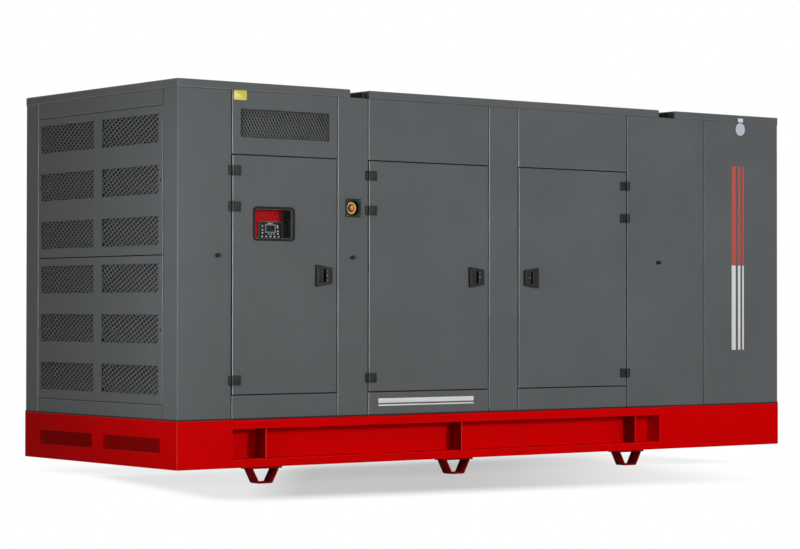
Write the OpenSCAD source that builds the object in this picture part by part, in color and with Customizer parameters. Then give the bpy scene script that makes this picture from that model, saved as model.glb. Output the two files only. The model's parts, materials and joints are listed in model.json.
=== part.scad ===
// Sound-attenuated generator set: a steel canopy with three service doors and
// mesh air inlets, on a recessed-web base frame that stands on six bent-strip feet.
// Millimetres. +X runs along the set to its right end, the door side faces -Y, +Z is up.
// The origin is under the middle of the set, on the level that the feet stand on.

/* [Canopy] */
// Width of the canopy, front face to back face
canopy_w = 1664; // [1500:2:2000]
// Height of the canopy walls, base to roof
wall_h = 1806; // [1600:2:2200]
// Thickness of a lined wall
wall_t = 50; // [40:1:70]
// Bend radius of the upright corners
corner_r = 8; // [4:1:12]
// Length of the corner panel's return on the end face
corner_return = 148; // [110:1:170]
// Width of the groove between two panels
seam_w = 6; // [3:1:8]
// Depth of the groove between two panels
seam_d = 10; // [4:1:14]

/* [Front bays, left to right] */
// Width of the left corner panel
left_corner_w = 350; // [300:5:420]
// Width of the bay of door 1
door_1_bay = 715; // [640:5:860]
// Width of the pillar with the stop button
stop_pillar_w = 217; // [190:1:270]
// Width of the bay of door 2
door_2_bay = 888; // [740:1:1060]
// Width of the plain pillar
plain_pillar_w = 227; // [180:1:260]
// Width of the bay of door 3
door_3_bay = 878; // [740:1:1060]
// Width of the flat panel right of door 3
right_panel_w = 657; // [550:1:790]
// Width of the right corner panel
right_corner_w = 668; // [550:1:790]

/* [Doors] */
// Height of the wall below a door
sill_h = 132; // [110:1:165]
// Height of the wall above a door
header_h = 349; // [320:1:440]
// Gap all round a door leaf
door_gap = 6; // [5.5:0.5:8]
// Thickness of the folded door pan
door_pan_t = 25; // [20:1:30]
// Thickness of the lining behind the pan
door_lining_t = 30; // [20:1:40]
// Distance from a leaf's edge to its lining
lining_inset = 30; // [26:1:40]
// Width of the door frame's stop inside the opening
stop_w = 22; // [16:1:24]
// Thickness of the door frame's stop
stop_t = 20; // [12:1:24]

/* [Hinges] */
// Height of a hinge
hinge_h = 54; // [45:1:66]
// Radius of the hinge knuckle
knuckle_r = 9; // [7:0.5:10]
// Distance from the wall face to the hinge axis
hinge_stand = 11; // [10:0.5:13]
// Radius of the hinge pin
hinge_pin_r = 4; // [3:0.5:5]
// Thickness of a hinge leaf
leaf_t = 8; // [5:0.5:8]
// Length of the leaf on the door
door_leaf_l = 44; // [35:1:60]
// Length of the leaf on the post
post_leaf_l = 14; // [10:1:20]
// Distance from the top of a door to its top hinge centre
hinge_top_1 = 90; // [75:1:105]
// Distance from the top of a door to its second hinge centre
hinge_top_2 = 289; // [240:1:340]
// Distance from the bottom of a door to its bottom hinge centre
hinge_bottom = 84; // [70:1:100]

/* [Latches] */
// Length of a latch housing, along the door
latch_l = 108; // [100:1:125]
// Height of the housing at its wide side
latch_wide_h = 124; // [115:1:145]
// Height of the housing at its narrow side
latch_narrow_h = 90; // [84:1:105]
// Thickness of the housing in front of the door
latch_t = 16; // [14:1:18]
// Distance from the free edge of the door to the housing
latch_edge = 38; // [28:1:48]
// Length of the cut-out in the housing
latch_cut_l = 60; // [58:1:70]
// Height of the cut-out in the housing
latch_cut_h = 76; // [66:1:80]
// Rim of the housing beside the cut-out, at its wide side
latch_rim = 5; // [4:0.5:8]
// Depth of the finger recess behind the door face
finger_depth = 18; // [14:1:22]
// Length of the paddle, pivot to grip edge
paddle_l = 36; // [30:1:38]
// Thickness of the paddle plate
paddle_t = 8; // [5:0.5:9]
// Radius of the paddle's pivot barrel
barrel_r = 6; // [5:0.5:7]
// Radius of the paddle's pin
paddle_pin_r = 2.5; // [2:0.5:3.5]

/* [Window in door 1] */
// Length of the window, over its gasket
window_l = 282; // [240:2:340]
// Height of the window, over its gasket
window_h = 190; // [160:2:230]
// Corner radius of the gasket
window_r = 25; // [18:1:40]
// Width of the gasket's lip on the door
gasket_lip = 6; // [4:0.5:9]
// Distance from the window's cut-out to the edge of the lining round it
lining_margin = 40; // [20:1:60]
// Thickness of the gasket inside the cut-out
gasket_wall = 8; // [5:0.5:12]
// Proud height of the gasket
gasket_proud = 4; // [2:0.5:6]
// Thickness of the pane
pane_t = 4; // [3:0.5:6]
// Distance from the hinge side of the bay to the window's middle
window_from_hinge = 280; // [250:5:320]
// Height of the window's middle above the door's bottom
window_rise = 946; // [850:2:1050]

/* [Air grilles] */
// Length of a mesh window
grille_l = 600; // [500:5:640]
// Height of a mesh window
grille_h = 157; // [130:1:180]
// Pitch of the rows of mesh windows
grille_pitch = 279; // [240:1:300]
// Gap between the two windows of a row
grille_mid_gap = 90; // [60:5:120]
// How far the mesh windows lie off the middle of an end, towards the back
grille_off = 7; // [0:1:20]
// Distance from the top of a panel to its first window
grille_top = 46; // [40:1:70]
// Thickness of the perforated end panels
end_panel_t = 6; // [4:1:10]
// Thickness of a mesh sheet
mesh_t = 3; // [2:0.5:4]
// Height of the top rail of an end
end_top_rail = 89; // [70:1:120]
// Height of the bottom rail of an end
end_bottom_rail = 84; // [70:1:120]
// Distance from the roof to the grille in the header of door 1
header_grille_top = 99; // [80:1:120]

// Thickness of the baffles behind the mesh windows
baffle_t = 3; // [2:0.5:4]
// Height by which an end's baffle passes its window, above and below
baffle_lap = 20; // [10:1:40]
// Depth of an end's baffle at its lower edge
baffle_low_d = 92; // [70:1:110]
// Depth of an end's baffle at its upper edge
baffle_high_d = 158; // [120:1:200]
// Depth of the header's baffle at its lower edge
hood_low_d = 12; // [11:1:20]
// Depth of the header's baffle at its upper edge
hood_high_d = 108; // [80:1:140]

/* [Roof] */
// Height of the roof's edge
roof_h = 46; // [40:1:60]
// How far the roof stands proud of the walls
roof_proud = 3; // [2:1:12]
// Distance from the stop button pillar's left side to the first gap in the roof
roof_gap_1_in = 86; // [60:1:110]
// Width of a gap between two roof caps
roof_gap_w = 134; // [110:1:150]
// Distance from the left side of the panel right of door 3 to the second gap
roof_gap_2_in = 268; // [240:1:330]
// Thickness of the plate on the floor of a gap
gap_floor_t = 8; // [5:1:10]
// Thickness of a lifting lug
lug_t = 12; // [10:1:16]
// Length of a lifting lug
lug_l = 250; // [180:10:320]
// Height of a lifting lug
lug_h = 36; // [32:1:38]
// Radius of the eye in a lifting lug
lug_eye_r = 10; // [8:0.5:12]
// Distance from the front of a lug to its eye
lug_eye_in = 18; // [14:1:30]
// Distance from the wall face to the front of a lug
lug_setback = 12; // [8:1:30]
// Distance from a lug to the roof cap on its right
lug_to_cap = 22; // [16:1:40]

/* [Base] */
// Height of the base frame
base_h = 264; // [220:2:320]
// How far the base stands proud of the canopy
base_proud = 2; // [0:1:20]
// Length of the left end box
left_box_l = 361; // [330:1:410]
// Length of the right end box
right_box_l = 1052; // [900:1:1200]
// Depth of the recess in the base's sides
recess_d = 110; // [80:5:140]
// Height of the top rail
top_rail_h = 44; // [40:1:70]
// Height of the bottom rail
bottom_rail_h = 46; // [35:1:60]
// How far the top rail lies below the end boxes
rail_drop = 8; // [4:1:12]
// Depth of the step above the top rail
rail_step = 6; // [4:1:12]
// Thickness of a gusset
gusset_t = 10; // [8:1:16]
// Places of the gussets, from the left end of the base
gusset_at = [579, 1965, 3343];
// Length of a base vent
vent_l = 597; // [500:5:640]
// Height of a base vent
vent_h = 81; // [60:1:100]
// Distance from the top of the base to a vent
vent_top = 99; // [80:1:120]
// Distance between the two vents of an end
vent_gap = 124; // [90:1:150]
// Depth of a base vent
vent_d = 30; // [20:1:60]
// Distance from the base's end to its vent mesh
vent_setback = 4; // [2:1:10]

/* [Feet] */
// Height of a foot, with its top plate
foot_h = 92; // [80:1:120]
// Thickness of a foot's top plate
foot_plate_t = 10; // [8:1:14]
// Length of a foot's top plate
foot_plate_l = 225; // [200:5:260]
// Width of the bent strip
foot_strip_w = 80; // [70:1:100]
// Thickness of the bent strip
foot_strip_t = 9; // [6:1:12]
// Length over the legs at the top
foot_top_l = 182; // [160:2:196]
// Length of the flat sole
foot_sole_l = 88; // [70:2:110]
// Distance from the base's side to the strip
foot_setback = 6; // [0:1:30]
// Places of the front feet, from the left end of the base
front_foot_at = [581, 1943, 3310];
// Places of the back feet, from the left end of the base
back_foot_at = [1000, 1943, 3310];

/* [Stop button] */
// Side of the square bezel
bezel_w = 105; // [95:1:115]
// Proud height of the bezel
bezel_t = 6; // [4:1:8]
// Radius of the cup
cup_r = 43; // [38:1:46]
// Thickness of the cup's wall
cup_wall = 4; // [3:0.5:6]
// Depth of the cup behind the wall face
cup_d = 24; // [22:1:28]
// Thickness of the cup's floor
cup_floor = 6; // [4:1:8]
// Radius of the mushroom button
button_r = 18; // [14:1:22]
// Thickness of the mushroom button
button_t = 10; // [8:1:10]
// Radius of the button's stem
stem_r = 6; // [4:0.5:8]
// Distance from the cup's floor to the back of the button
button_lift = 12; // [11:1:13]
// Height of the stop button above the base
stop_rise = 1180; // [1050:2:1300]

/* [Door buffers] */
// Radius of a rubber buffer
buffer_r = 12; // [10:0.5:15]
// Proud height of a buffer
buffer_l = 24; // [18:1:26]
// Height of the buffers above the base
buffer_rise = 899; // [800:1:1000]
// Distance of buffer 1 to the left of door 1
buffer_1_off = 92; // [70:1:120]
// Distance of buffer 2 to the left of door 2
buffer_2_off = 113; // [90:1:140]
// Distance of buffer 3 to the right of door 3
buffer_3_off = 260; // [200:1:320]

/* [Machinery] */
// Width of the control cabinet
cabinet_w = 380; // [330:5:400]
// Distance from the hinge side of bay 1 to the cabinet's right side
cabinet_right = 404; // [402:2:430]
// Height of the control cabinet
cabinet_h = 760; // [600:10:900]
// Depth of the control cabinet
cabinet_d = 230; // [180:10:280]
// Distance from the wall face to the cabinet's front
cabinet_setback = 90; // [80:1:120]
// Width of the controller
controller_w = 164; // [140:2:180]
// Height of the controller
controller_h = 124; // [90:2:140]
// Distance from the cabinet's right side to the controller
controller_inset = 11; // [6:1:20]
// Distance from the window's middle down to the controller's middle
controller_drop = 44; // [20:1:60]
// How far the controller stands out of the cabinet
controller_t = 12; // [8:1:18]
// Length of the alternator
alternator_l = 900; // [700:10:1100]
// Radius of the alternator
alternator_r = 340; // [280:10:380]
// Length of the engine
engine_l = 1650; // [1300:10:1700]
// Width of the engine block
engine_w = 620; // [500:10:700]
// Height of the engine, over its heads
engine_h = 1080; // [900:10:1200]
// Thickness of the radiator
radiator_t = 200; // [150:10:260]
// Width of the radiator
radiator_w = 1300; // [1100:10:1350]
// Height of the radiator
radiator_h = 1500; // [1300:10:1600]

/* [Hidden] */
$fn = 64;

GREY = "#5f6163";
RED = "#c00a0a";
BLACK = "#2b2c2d";
STEEL = "#8c8f92";

// Clearances
pin_play = 0.05;
knuckle_play = 1;
leaf_play = 1.5;
barrel_play = 1;
eps = 1;

// Lengths along the front
canopy_l = left_corner_w + door_1_bay + stop_pillar_w + door_2_bay + plain_pillar_w
    + door_3_bay + right_panel_w + right_corner_w;
x_left = -canopy_l / 2;
x_door_1 = x_left + left_corner_w;
x_stop_pillar = x_door_1 + door_1_bay;
x_door_2 = x_stop_pillar + stop_pillar_w;
x_plain_pillar = x_door_2 + door_2_bay;
x_door_3 = x_plain_pillar + plain_pillar_w;
x_right_panel = x_door_3 + door_3_bay;
x_right_corner = x_right_panel + right_panel_w;
x_right = x_right_corner + right_corner_w;

// Levels
z_base = foot_h;
z_deck = z_base + base_h;
z_door_0 = z_deck + sill_h;
z_wall = z_deck + wall_h;
z_door_1 = z_wall - header_h;
z_roof = z_wall + roof_h;
door_open_h = z_door_1 - z_door_0;
z_rail = z_deck - rail_drop;

// Base and its places
base_l = canopy_l + 2 * base_proud;
base_w = canopy_w + 2 * base_proud;
y_front = -canopy_w / 2;
y_base = -base_w / 2;
x_base = -base_l / 2;

// One row per door: bay start, bay width, side of the hinges (-1 left, 1 right)
DOORS = [
    [x_door_1, door_1_bay, -1],
    [x_door_2, door_2_bay, -1],
    [x_door_3, door_3_bay, 1]
];
hinge_levels = [
    z_door_1 - hinge_top_1,
    z_door_1 - hinge_top_2,
    z_door_0 + hinge_bottom
];
function hinge_x(d) = d[2] < 0 ? d[0] + door_gap / 2 : d[0] + d[1] - door_gap / 2;
knuckle_h = (hinge_h - 2 * knuckle_play) / 3;
z_latch = (z_door_0 + z_door_1) / 2;
barrel_u = latch_rim + barrel_play + barrel_r;
barrel_n = latch_t - barrel_r - barrel_play;

// Roof caps
x_gap_1 = x_stop_pillar + roof_gap_1_in;
x_gap_2 = x_right_panel + roof_gap_2_in;
cap_r = corner_r + roof_proud;
lug_x = roof_gap_w - lug_to_cap - lug_t;

// Ends
panel_h = (wall_h - end_top_rail - end_bottom_rail) / 2;
z_lower_panel = z_deck + end_bottom_rail;
z_upper_panel = z_lower_panel + panel_h;

// Machinery
cabinet_x = x_door_1 + cabinet_right - cabinet_w;
z_window = z_door_0 + window_rise;
x_window = x_door_1 + window_from_hinge;
x_stop = x_stop_pillar + stop_pillar_w / 2;
z_stop = z_deck + stop_rise;
machine_z = z_deck + 110;
alternator_x = x_left + 350;
engine_x = alternator_x + alternator_l;
radiator_x = engine_x + engine_l + 60;

// ---------------------------------------------------------------- shared shapes

// Block between two corners
module block(a, b) {
    translate(a) cube(b - a);
}

// Rectangle with rounded corners, centred
module round_rect(l, h, r) {
    square([l - 2 * r, h], center = true);
    square([l, h - 2 * r], center = true);
    for (x = [-1, 1], y = [-1, 1])
        translate([x * (l / 2 - r), y * (h / 2 - r)]) circle(r);
}

// Shape drawn flat in X and Z, raised towards -Y from the plane y
module toward_front(y, depth) {
    translate([0, y, 0]) rotate([90, 0, 0]) linear_extrude(depth) children();
}

// The same pieces on the front and on the back
module both_sides() {
    children();
    mirror([0, 1, 0]) children();
}

// Lined wall panel on the front, with half a groove down each side
module wall_panel(x0, x1, z0, z1) {
    block([x0, y_front + seam_d, z0], [x1, y_front + wall_t, z1]);
    block([x0 + seam_w / 2, y_front, z0], [x1 - seam_w / 2, y_front + seam_d + eps, z1]);
}

// Corner panel outline: a front leg of length l and a return, mirrored for the right end
module corner_outline(l) {
    translate([corner_r, 0]) square([l - seam_w / 2 - corner_r, seam_d + eps]);
    translate([seam_d, seam_d]) square([l - seam_d, wall_t - seam_d]);
    translate([0, corner_r]) square([seam_d + eps, corner_return - seam_w / 2 - corner_r]);
    translate([seam_d, seam_d]) square([wall_t - seam_d, corner_return - seam_d]);
    square_in = max(corner_r, seam_d);
    translate([corner_r, corner_r]) square([square_in, square_in]);
    translate([corner_r, corner_r]) circle(corner_r);
}

module corner_panel(l) {
    translate([x_left, y_front, z_deck]) linear_extrude(wall_h) corner_outline(l);
}

// ---------------------------------------------------------------- base frame

module base_end_box(length) {
    difference() {
        block([0, -base_w / 2, z_base], [length, base_w / 2, z_deck]);
        for (side = [-1, 1])
            translate([-eps, side * (vent_gap + vent_l) / 2 - vent_l / 2, z_deck - vent_top - vent_h])
                cube([vent_d + eps, vent_l, vent_h]);
    }
}

module base_end_boxes() {
    color(RED) {
        translate([x_base, 0, 0]) base_end_box(left_box_l);
        mirror([1, 0, 0]) translate([x_base, 0, 0]) base_end_box(right_box_l);
    }
}

module base_tank() {
    color(RED)
        block([x_base + left_box_l, y_base + recess_d, z_base],
              [-x_base - right_box_l, -y_base - recess_d, z_deck]);
}

module base_side_rails() {
    color(RED) both_sides() {
        block([x_base + left_box_l, y_base, z_rail - top_rail_h],
              [-x_base - right_box_l, y_base + recess_d, z_rail]);
        block([x_base + left_box_l, y_base + rail_step, z_rail - eps],
              [-x_base - right_box_l, y_base + recess_d, z_deck]);
        block([x_base + left_box_l, y_base, z_base],
              [-x_base - right_box_l, y_base + recess_d, z_base + bottom_rail_h]);
    }
}

module base_gussets() {
    color(RED) both_sides() for (s = gusset_at)
        block([x_base + s, y_base, z_base + bottom_rail_h],
              [x_base + s + gusset_t, y_base + recess_d, z_rail - top_rail_h]);
}

module base_vent_mesh() {
    color(RED) for (end = [0, 1]) mirror([end, 0, 0]) for (side = [-1, 1])
        translate([x_base + vent_setback, side * (vent_gap + vent_l) / 2 - vent_l / 2,
                   z_deck - vent_top - vent_h])
            cube([mesh_t, vent_l, vent_h]);
}

// Bent strip in X and Z: a sole, two sloping legs, and a plate on top
module foot_outline() {
    leg_h = foot_h - foot_plate_t;
    slope = (foot_top_l - foot_sole_l) / 2 / leg_h;
    leg_x = foot_strip_t * sqrt(1 + slope * slope);
    inner_sole = foot_sole_l / 2 - leg_x + foot_strip_t * slope;
    inner_top = foot_top_l / 2 - leg_x;
    difference() {
        polygon([[-foot_sole_l / 2, 0], [foot_sole_l / 2, 0],
                 [foot_top_l / 2, leg_h], [-foot_top_l / 2, leg_h]]);
        polygon([[-inner_sole, foot_strip_t], [inner_sole, foot_strip_t],
                 [inner_top + eps * slope, leg_h + eps], [-inner_top - eps * slope, leg_h + eps]]);
    }
    translate([-foot_plate_l / 2, leg_h]) square([foot_plate_l, foot_plate_t]);
}

module row_of_feet(places) {
    for (s = places)
        translate([x_base + s, 0, 0])
            toward_front(y_base + foot_setback + foot_strip_w, foot_strip_w) foot_outline();
}

module feet() {
    color(RED) {
        row_of_feet(front_foot_at);
        mirror([0, 1, 0]) row_of_feet(back_foot_at);
    }
}

// ---------------------------------------------------------------- front wall

module front_left_corner() {
    color(GREY) corner_panel(left_corner_w);
}

module grille_header() {
    color(GREY) difference() {
        wall_panel(x_door_1, x_stop_pillar, z_door_1, z_wall);
        translate([x_door_1 + (door_1_bay - grille_l) / 2, y_front - eps,
                   z_wall - header_grille_top - grille_h])
            cube([grille_l, wall_t + 2 * eps, grille_h]);
    }
}

module header_mesh() {
    color(BLACK)
        translate([x_door_1 + (door_1_bay - grille_l) / 2, y_front + end_panel_t,
                   z_wall - header_grille_top - grille_h])
            cube([grille_l, mesh_t, grille_h]);
}

module plain_headers() {
    color(GREY) {
        wall_panel(x_door_2, x_plain_pillar, z_door_1, z_wall);
        wall_panel(x_door_3, x_right_panel, z_door_1, z_wall);
    }
}

module front_sills() {
    color(GREY) for (d = DOORS)
        wall_panel(d[0], d[0] + d[1], z_deck, z_door_0);
}

module stop_button_pillar() {
    color(GREY) difference() {
        wall_panel(x_stop_pillar, x_door_2, z_deck, z_wall);
        translate([x_stop, y_front - eps, z_stop]) rotate([-90, 0, 0])
            cylinder(r = cup_r + cup_wall, h = wall_t + 2 * eps);
    }
}

module plain_pillar() {
    color(GREY) wall_panel(x_plain_pillar, x_door_3, z_deck, z_wall);
}

module front_right_panel() {
    color(GREY) wall_panel(x_right_panel, x_right_corner, z_deck, z_wall);
}

module front_right_corner() {
    color(GREY) mirror([1, 0, 0]) corner_panel(right_corner_w);
}

// Stop frame inside each door opening
module door_frames() {
    color(BLACK) for (d = DOORS) difference() {
        block([d[0], y_front + wall_t - stop_t, z_door_0],
              [d[0] + d[1], y_front + wall_t, z_door_1]);
        block([d[0] + stop_w, y_front + wall_t - stop_t - eps, z_door_0 + stop_w],
              [d[0] + d[1] - stop_w, y_front + wall_t + eps, z_door_1 - stop_w]);
    }
}

// ---------------------------------------------------------------- back wall

module back_corners() {
    color(GREY) mirror([0, 1, 0]) {
        corner_panel(left_corner_w);
        mirror([1, 0, 0]) corner_panel(right_corner_w);
    }
}

// Leaf of a closed back door, shrunk by the gap all round
module back_door_leaf(d, grow) {
    block([d[0] + door_gap - grow, y_front - grow, z_door_0 + door_gap - grow],
          [d[0] + d[1] - door_gap + grow, y_front + door_pan_t, z_door_1 - door_gap + grow]);
}

module back_wall() {
    color(GREY) mirror([0, 1, 0]) difference() {
        wall_panel(x_door_1, x_right_corner, z_deck, z_wall);
        for (d = DOORS) back_door_leaf(d, door_gap);
        for (x = [x_stop_pillar, x_door_2, x_plain_pillar, x_door_3, x_right_panel])
            block([x - seam_w / 2, y_front - eps, z_deck - eps],
                  [x + seam_w / 2, y_front + seam_d, z_wall + eps]);
    }
}

module back_doors() {
    color(GREY) mirror([0, 1, 0]) for (d = DOORS) back_door_leaf(d, 0);
}

module back_door_hardware() {
    color(BLACK) mirror([0, 1, 0]) for (d = DOORS) {
        for (z = hinge_levels) translate([hinge_x(d), y_front, z - hinge_h / 2])
            mirror([d[2] > 0 ? 1 : 0, 0, 0]) {
                block([knuckle_r + leaf_play, -leaf_t, 0],
                      [knuckle_r + leaf_play + door_leaf_l, 0, hinge_h]);
                translate([0, -hinge_stand, 0]) cylinder(r = knuckle_r, h = hinge_h);
                block([0, -leaf_t, 0], [knuckle_r + leaf_play + eps, -leaf_t / 2, hinge_h]);
            }
        in_latch(d) toward_front(0, latch_t) latch_outline();
    }
}

// ---------------------------------------------------------------- ends

module end_rail_pair() {
    block([x_left, y_front + corner_return, z_wall - end_top_rail],
          [x_left + wall_t, -y_front - corner_return, z_wall]);
    block([x_left, y_front + corner_return, z_deck],
          [x_left + wall_t, -y_front - corner_return, z_deck + end_bottom_rail]);
}

module end_rails() {
    color(GREY) {
        end_rail_pair();
        mirror([1, 0, 0]) end_rail_pair();
    }
}

// Perforated end panel: two columns of three windows
module end_panel(z0) {
    half = seam_w / 2;
    difference() {
        block([x_left, y_front + corner_return + half, z0 + half],
              [x_left + end_panel_t, -y_front - corner_return - half, z0 + panel_h - half]);
        for (row = [0, 1, 2], side = [-1, 1])
            translate([x_left - eps, grille_off + side * (grille_mid_gap + grille_l) / 2 - grille_l / 2,
                       z0 + panel_h - grille_top - grille_h - row * grille_pitch])
                cube([end_panel_t + 2 * eps, grille_l, grille_h]);
    }
}

module left_upper_panel() {
    color(GREY) end_panel(z_upper_panel);
}

module left_lower_panel() {
    color(GREY) end_panel(z_lower_panel);
}

module right_end_panels() {
    color(GREY) mirror([1, 0, 0]) {
        end_panel(z_upper_panel);
        end_panel(z_lower_panel);
    }
}

module end_mesh() {
    block([x_left + end_panel_t, y_front + corner_return, z_lower_panel],
          [x_left + end_panel_t + mesh_t, -y_front - corner_return, z_lower_panel + 2 * panel_h]);
}

module left_window_mesh() {
    color(BLACK) end_mesh();
}

module right_window_mesh() {
    color(BLACK) mirror([1, 0, 0]) end_mesh();
}

// Sheet that leans back as it rises, drawn in depth and height
module leaning_sheet(low_d, high_d, z0, z1) {
    polygon([[low_d, z0], [low_d + baffle_t, z0], [high_d + baffle_t, z1], [high_d, z1]]);
}

// Baffles behind the mesh windows of an end, between three upright cheeks
module end_baffles() {
    y_side = y_front + corner_return;
    lap_d = (baffle_high_d - baffle_low_d) * baffle_lap / grille_h;
    translate([x_left, -y_side, 0]) rotate([90, 0, 0]) linear_extrude(-2 * y_side)
        for (z0 = [z_lower_panel, z_upper_panel], row = [0, 1, 2]) {
            z = z0 + panel_h - grille_top - grille_h - row * grille_pitch;
            leaning_sheet(baffle_low_d - lap_d, baffle_high_d + lap_d, z - baffle_lap, z + grille_h + baffle_lap);
        }
    for (y = [y_side, grille_off - baffle_t / 2, -y_side - baffle_t])
        block([x_left + end_panel_t + mesh_t, y, z_lower_panel],
              [x_left + baffle_high_d + lap_d + baffle_t, y + baffle_t, z_lower_panel + 2 * panel_h]);
}

// Baffle behind the grille over door 1, closed at its sides behind the wall
module header_baffle() {
    x0 = x_door_1 + (door_1_bay - grille_l) / 2;
    z0 = z_wall - header_grille_top - grille_h;
    z_back = z0 + grille_h * (wall_t - hood_low_d) / (hood_high_d - hood_low_d);
    translate([x0, y_front, 0]) rotate([90, 0, 90]) {
        linear_extrude(grille_l) leaning_sheet(hood_low_d, hood_high_d, z0, z0 + grille_h);
        for (u = [0, grille_l - baffle_t])
            translate([0, 0, u]) linear_extrude(baffle_t)
                polygon([[wall_t, z_back], [hood_high_d + baffle_t, z0 + grille_h], [wall_t, z0 + grille_h]]);
    }
}

module inlet_baffles() {
    color(GREY) {
        end_baffles();
        mirror([1, 0, 0]) end_baffles();
        header_baffle();
    }
}

// ---------------------------------------------------------------- roof

// Roof cap with rounded corners at its outer end
module roof_cap(x0, x1, round_left, round_right) {
    ra = round_left ? cap_r : 0;
    rb = round_right ? cap_r : 0;
    half_w = canopy_w / 2 + roof_proud;
    translate([0, 0, z_wall]) linear_extrude(roof_h) {
        translate([x0 + ra, -half_w]) square([x1 - x0 - ra - rb, 2 * half_w]);
        if (round_left) cap_end(x0, half_w, 1);
        if (round_right) cap_end(x1, half_w, -1);
    }
}

module cap_end(x, half_w, dir) {
    translate([x, 0]) mirror([dir < 0 ? 1 : 0, 0]) {
        translate([0, cap_r - half_w]) square([cap_r + eps, 2 * (half_w - cap_r)]);
        for (side = [-1, 1]) translate([cap_r, side * (half_w - cap_r)]) circle(cap_r);
    }
}

module roof_left_cap() {
    color(GREY) roof_cap(x_left - roof_proud, x_gap_1, true, false);
}

module roof_middle_cap() {
    color(GREY) roof_cap(x_gap_1 + roof_gap_w, x_gap_2, false, false);
}

module roof_right_cap() {
    color(GREY) roof_cap(x_gap_2 + roof_gap_w, x_right + roof_proud, false, true);
}

// Lug plate in the plane across the set, with an eye near its outer end
module lifting_lug(x) {
    y0 = y_front + lug_setback;
    difference() {
        block([x, y0, z_wall], [x + lug_t, y0 + lug_l, z_wall + lug_h]);
        translate([x - eps, y0 + lug_eye_in, z_wall + lug_h / 2]) rotate([0, 90, 0])
            cylinder(r = lug_eye_r, h = lug_t + 2 * eps);
    }
}

module lifting_beams() {
    color(BLACK) for (x = [x_gap_1, x_gap_2]) {
        block([x, y_front + wall_t, z_wall - gap_floor_t],
              [x + roof_gap_w, -y_front - wall_t, z_wall]);
        both_sides() lifting_lug(x + lug_x);
    }
}

// ---------------------------------------------------------------- doors

// Puts latch pieces on a door: u from the wide side to the free edge, -Y out of the door
module in_latch(d) {
    x_free = d[2] < 0 ? d[0] + d[1] - door_gap : d[0] + door_gap;
    dir = d[2] < 0 ? 1 : -1;
    translate([x_free - dir * (latch_edge + latch_l), y_front, z_latch])
        mirror([dir < 0 ? 1 : 0, 0, 0]) children();
}

module latch_outline() {
    polygon([[0, -latch_wide_h / 2], [latch_l, -latch_narrow_h / 2],
             [latch_l, latch_narrow_h / 2], [0, latch_wide_h / 2]]);
}

// Door leaf: folded pan, lining, and the pocket behind the latch
module door_leaf(d) {
    x0 = d[0] + door_gap;
    x1 = d[0] + d[1] - door_gap;
    z0 = z_door_0 + door_gap;
    z1 = z_door_1 - door_gap;
    difference() {
        union() {
            block([x0, y_front, z0], [x1, y_front + door_pan_t, z1]);
            block([x0 + lining_inset, y_front + door_pan_t - eps, z0 + lining_inset],
                  [x1 - lining_inset, y_front + door_pan_t + door_lining_t, z1 - lining_inset]);
        }
        in_latch(d) block([latch_rim, -eps, -latch_cut_h / 2],
                          [latch_rim + latch_cut_l, finger_depth, latch_cut_h / 2]);
    }
}

module door_1() {
    cut_l = window_l - 2 * gasket_lip;
    cut_h = window_h - 2 * gasket_lip;
    y_lining = y_front + door_pan_t;
    color(GREY) difference() {
        door_leaf(DOORS[0]);
        translate([x_window, 0, z_window]) {
            toward_front(y_lining + eps, door_pan_t + 2 * eps)
                round_rect(cut_l, cut_h, window_r - gasket_lip);
            toward_front(y_lining + door_lining_t + eps, door_lining_t + eps)
                square([cut_l + 2 * lining_margin, cut_h + 2 * lining_margin], center = true);
        }
    }
}

module door_2() {
    color(GREY) door_leaf(DOORS[1]);
}

module door_3() {
    color(GREY) door_leaf(DOORS[2]);
}

// Ring seated in the door's cut-out, with a lip on the door's face
module window_gasket() {
    ring_l = window_l - 2 * gasket_lip;
    ring_h = window_h - 2 * gasket_lip;
    ring_r = window_r - gasket_lip;
    color(BLACK) translate([x_window, 0, z_window]) difference() {
        union() {
            toward_front(y_front, gasket_proud) round_rect(window_l, window_h, window_r);
            toward_front(y_front + door_pan_t, door_pan_t + eps) round_rect(ring_l, ring_h, ring_r);
        }
        toward_front(y_front + door_pan_t + eps, door_pan_t + gasket_proud + 2 * eps)
            round_rect(ring_l - 2 * gasket_wall, ring_h - 2 * gasket_wall, ring_r - gasket_wall);
    }
}

module window_pane() {
    ring_l = window_l - 2 * gasket_lip - 2 * gasket_wall;
    ring_h = window_h - 2 * gasket_lip - 2 * gasket_wall;
    color("#9fb0b8", 0.4) translate([x_window, 0, z_window])
        toward_front(y_front + pane_t, pane_t)
            round_rect(ring_l, ring_h, window_r - gasket_lip - gasket_wall);
}

// ---------------------------------------------------------------- hinges

// Puts hinge pieces at each level of a door: +X towards the door, -Y out of the wall
module at_hinges(d) {
    for (z = hinge_levels) translate([hinge_x(d), y_front, z - hinge_h / 2])
        mirror([d[2] > 0 ? 1 : 0, 0, 0]) children();
}

// Moving half: the middle knuckle with its bore, and the leaf on the door
module door_hinge_half() {
    z0 = knuckle_h + knuckle_play;
    reach = knuckle_r + leaf_play;
    difference() {
        union() {
            block([reach, -leaf_t, 0], [reach + door_leaf_l, 0, hinge_h]);
            block([0, -leaf_t, z0], [reach + eps, -leaf_t / 4, z0 + knuckle_h]);
            translate([0, -hinge_stand, z0]) cylinder(r = knuckle_r, h = knuckle_h);
        }
        translate([0, -hinge_stand, -eps]) cylinder(r = hinge_pin_r + pin_play, h = hinge_h + 2 * eps);
    }
}

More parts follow.
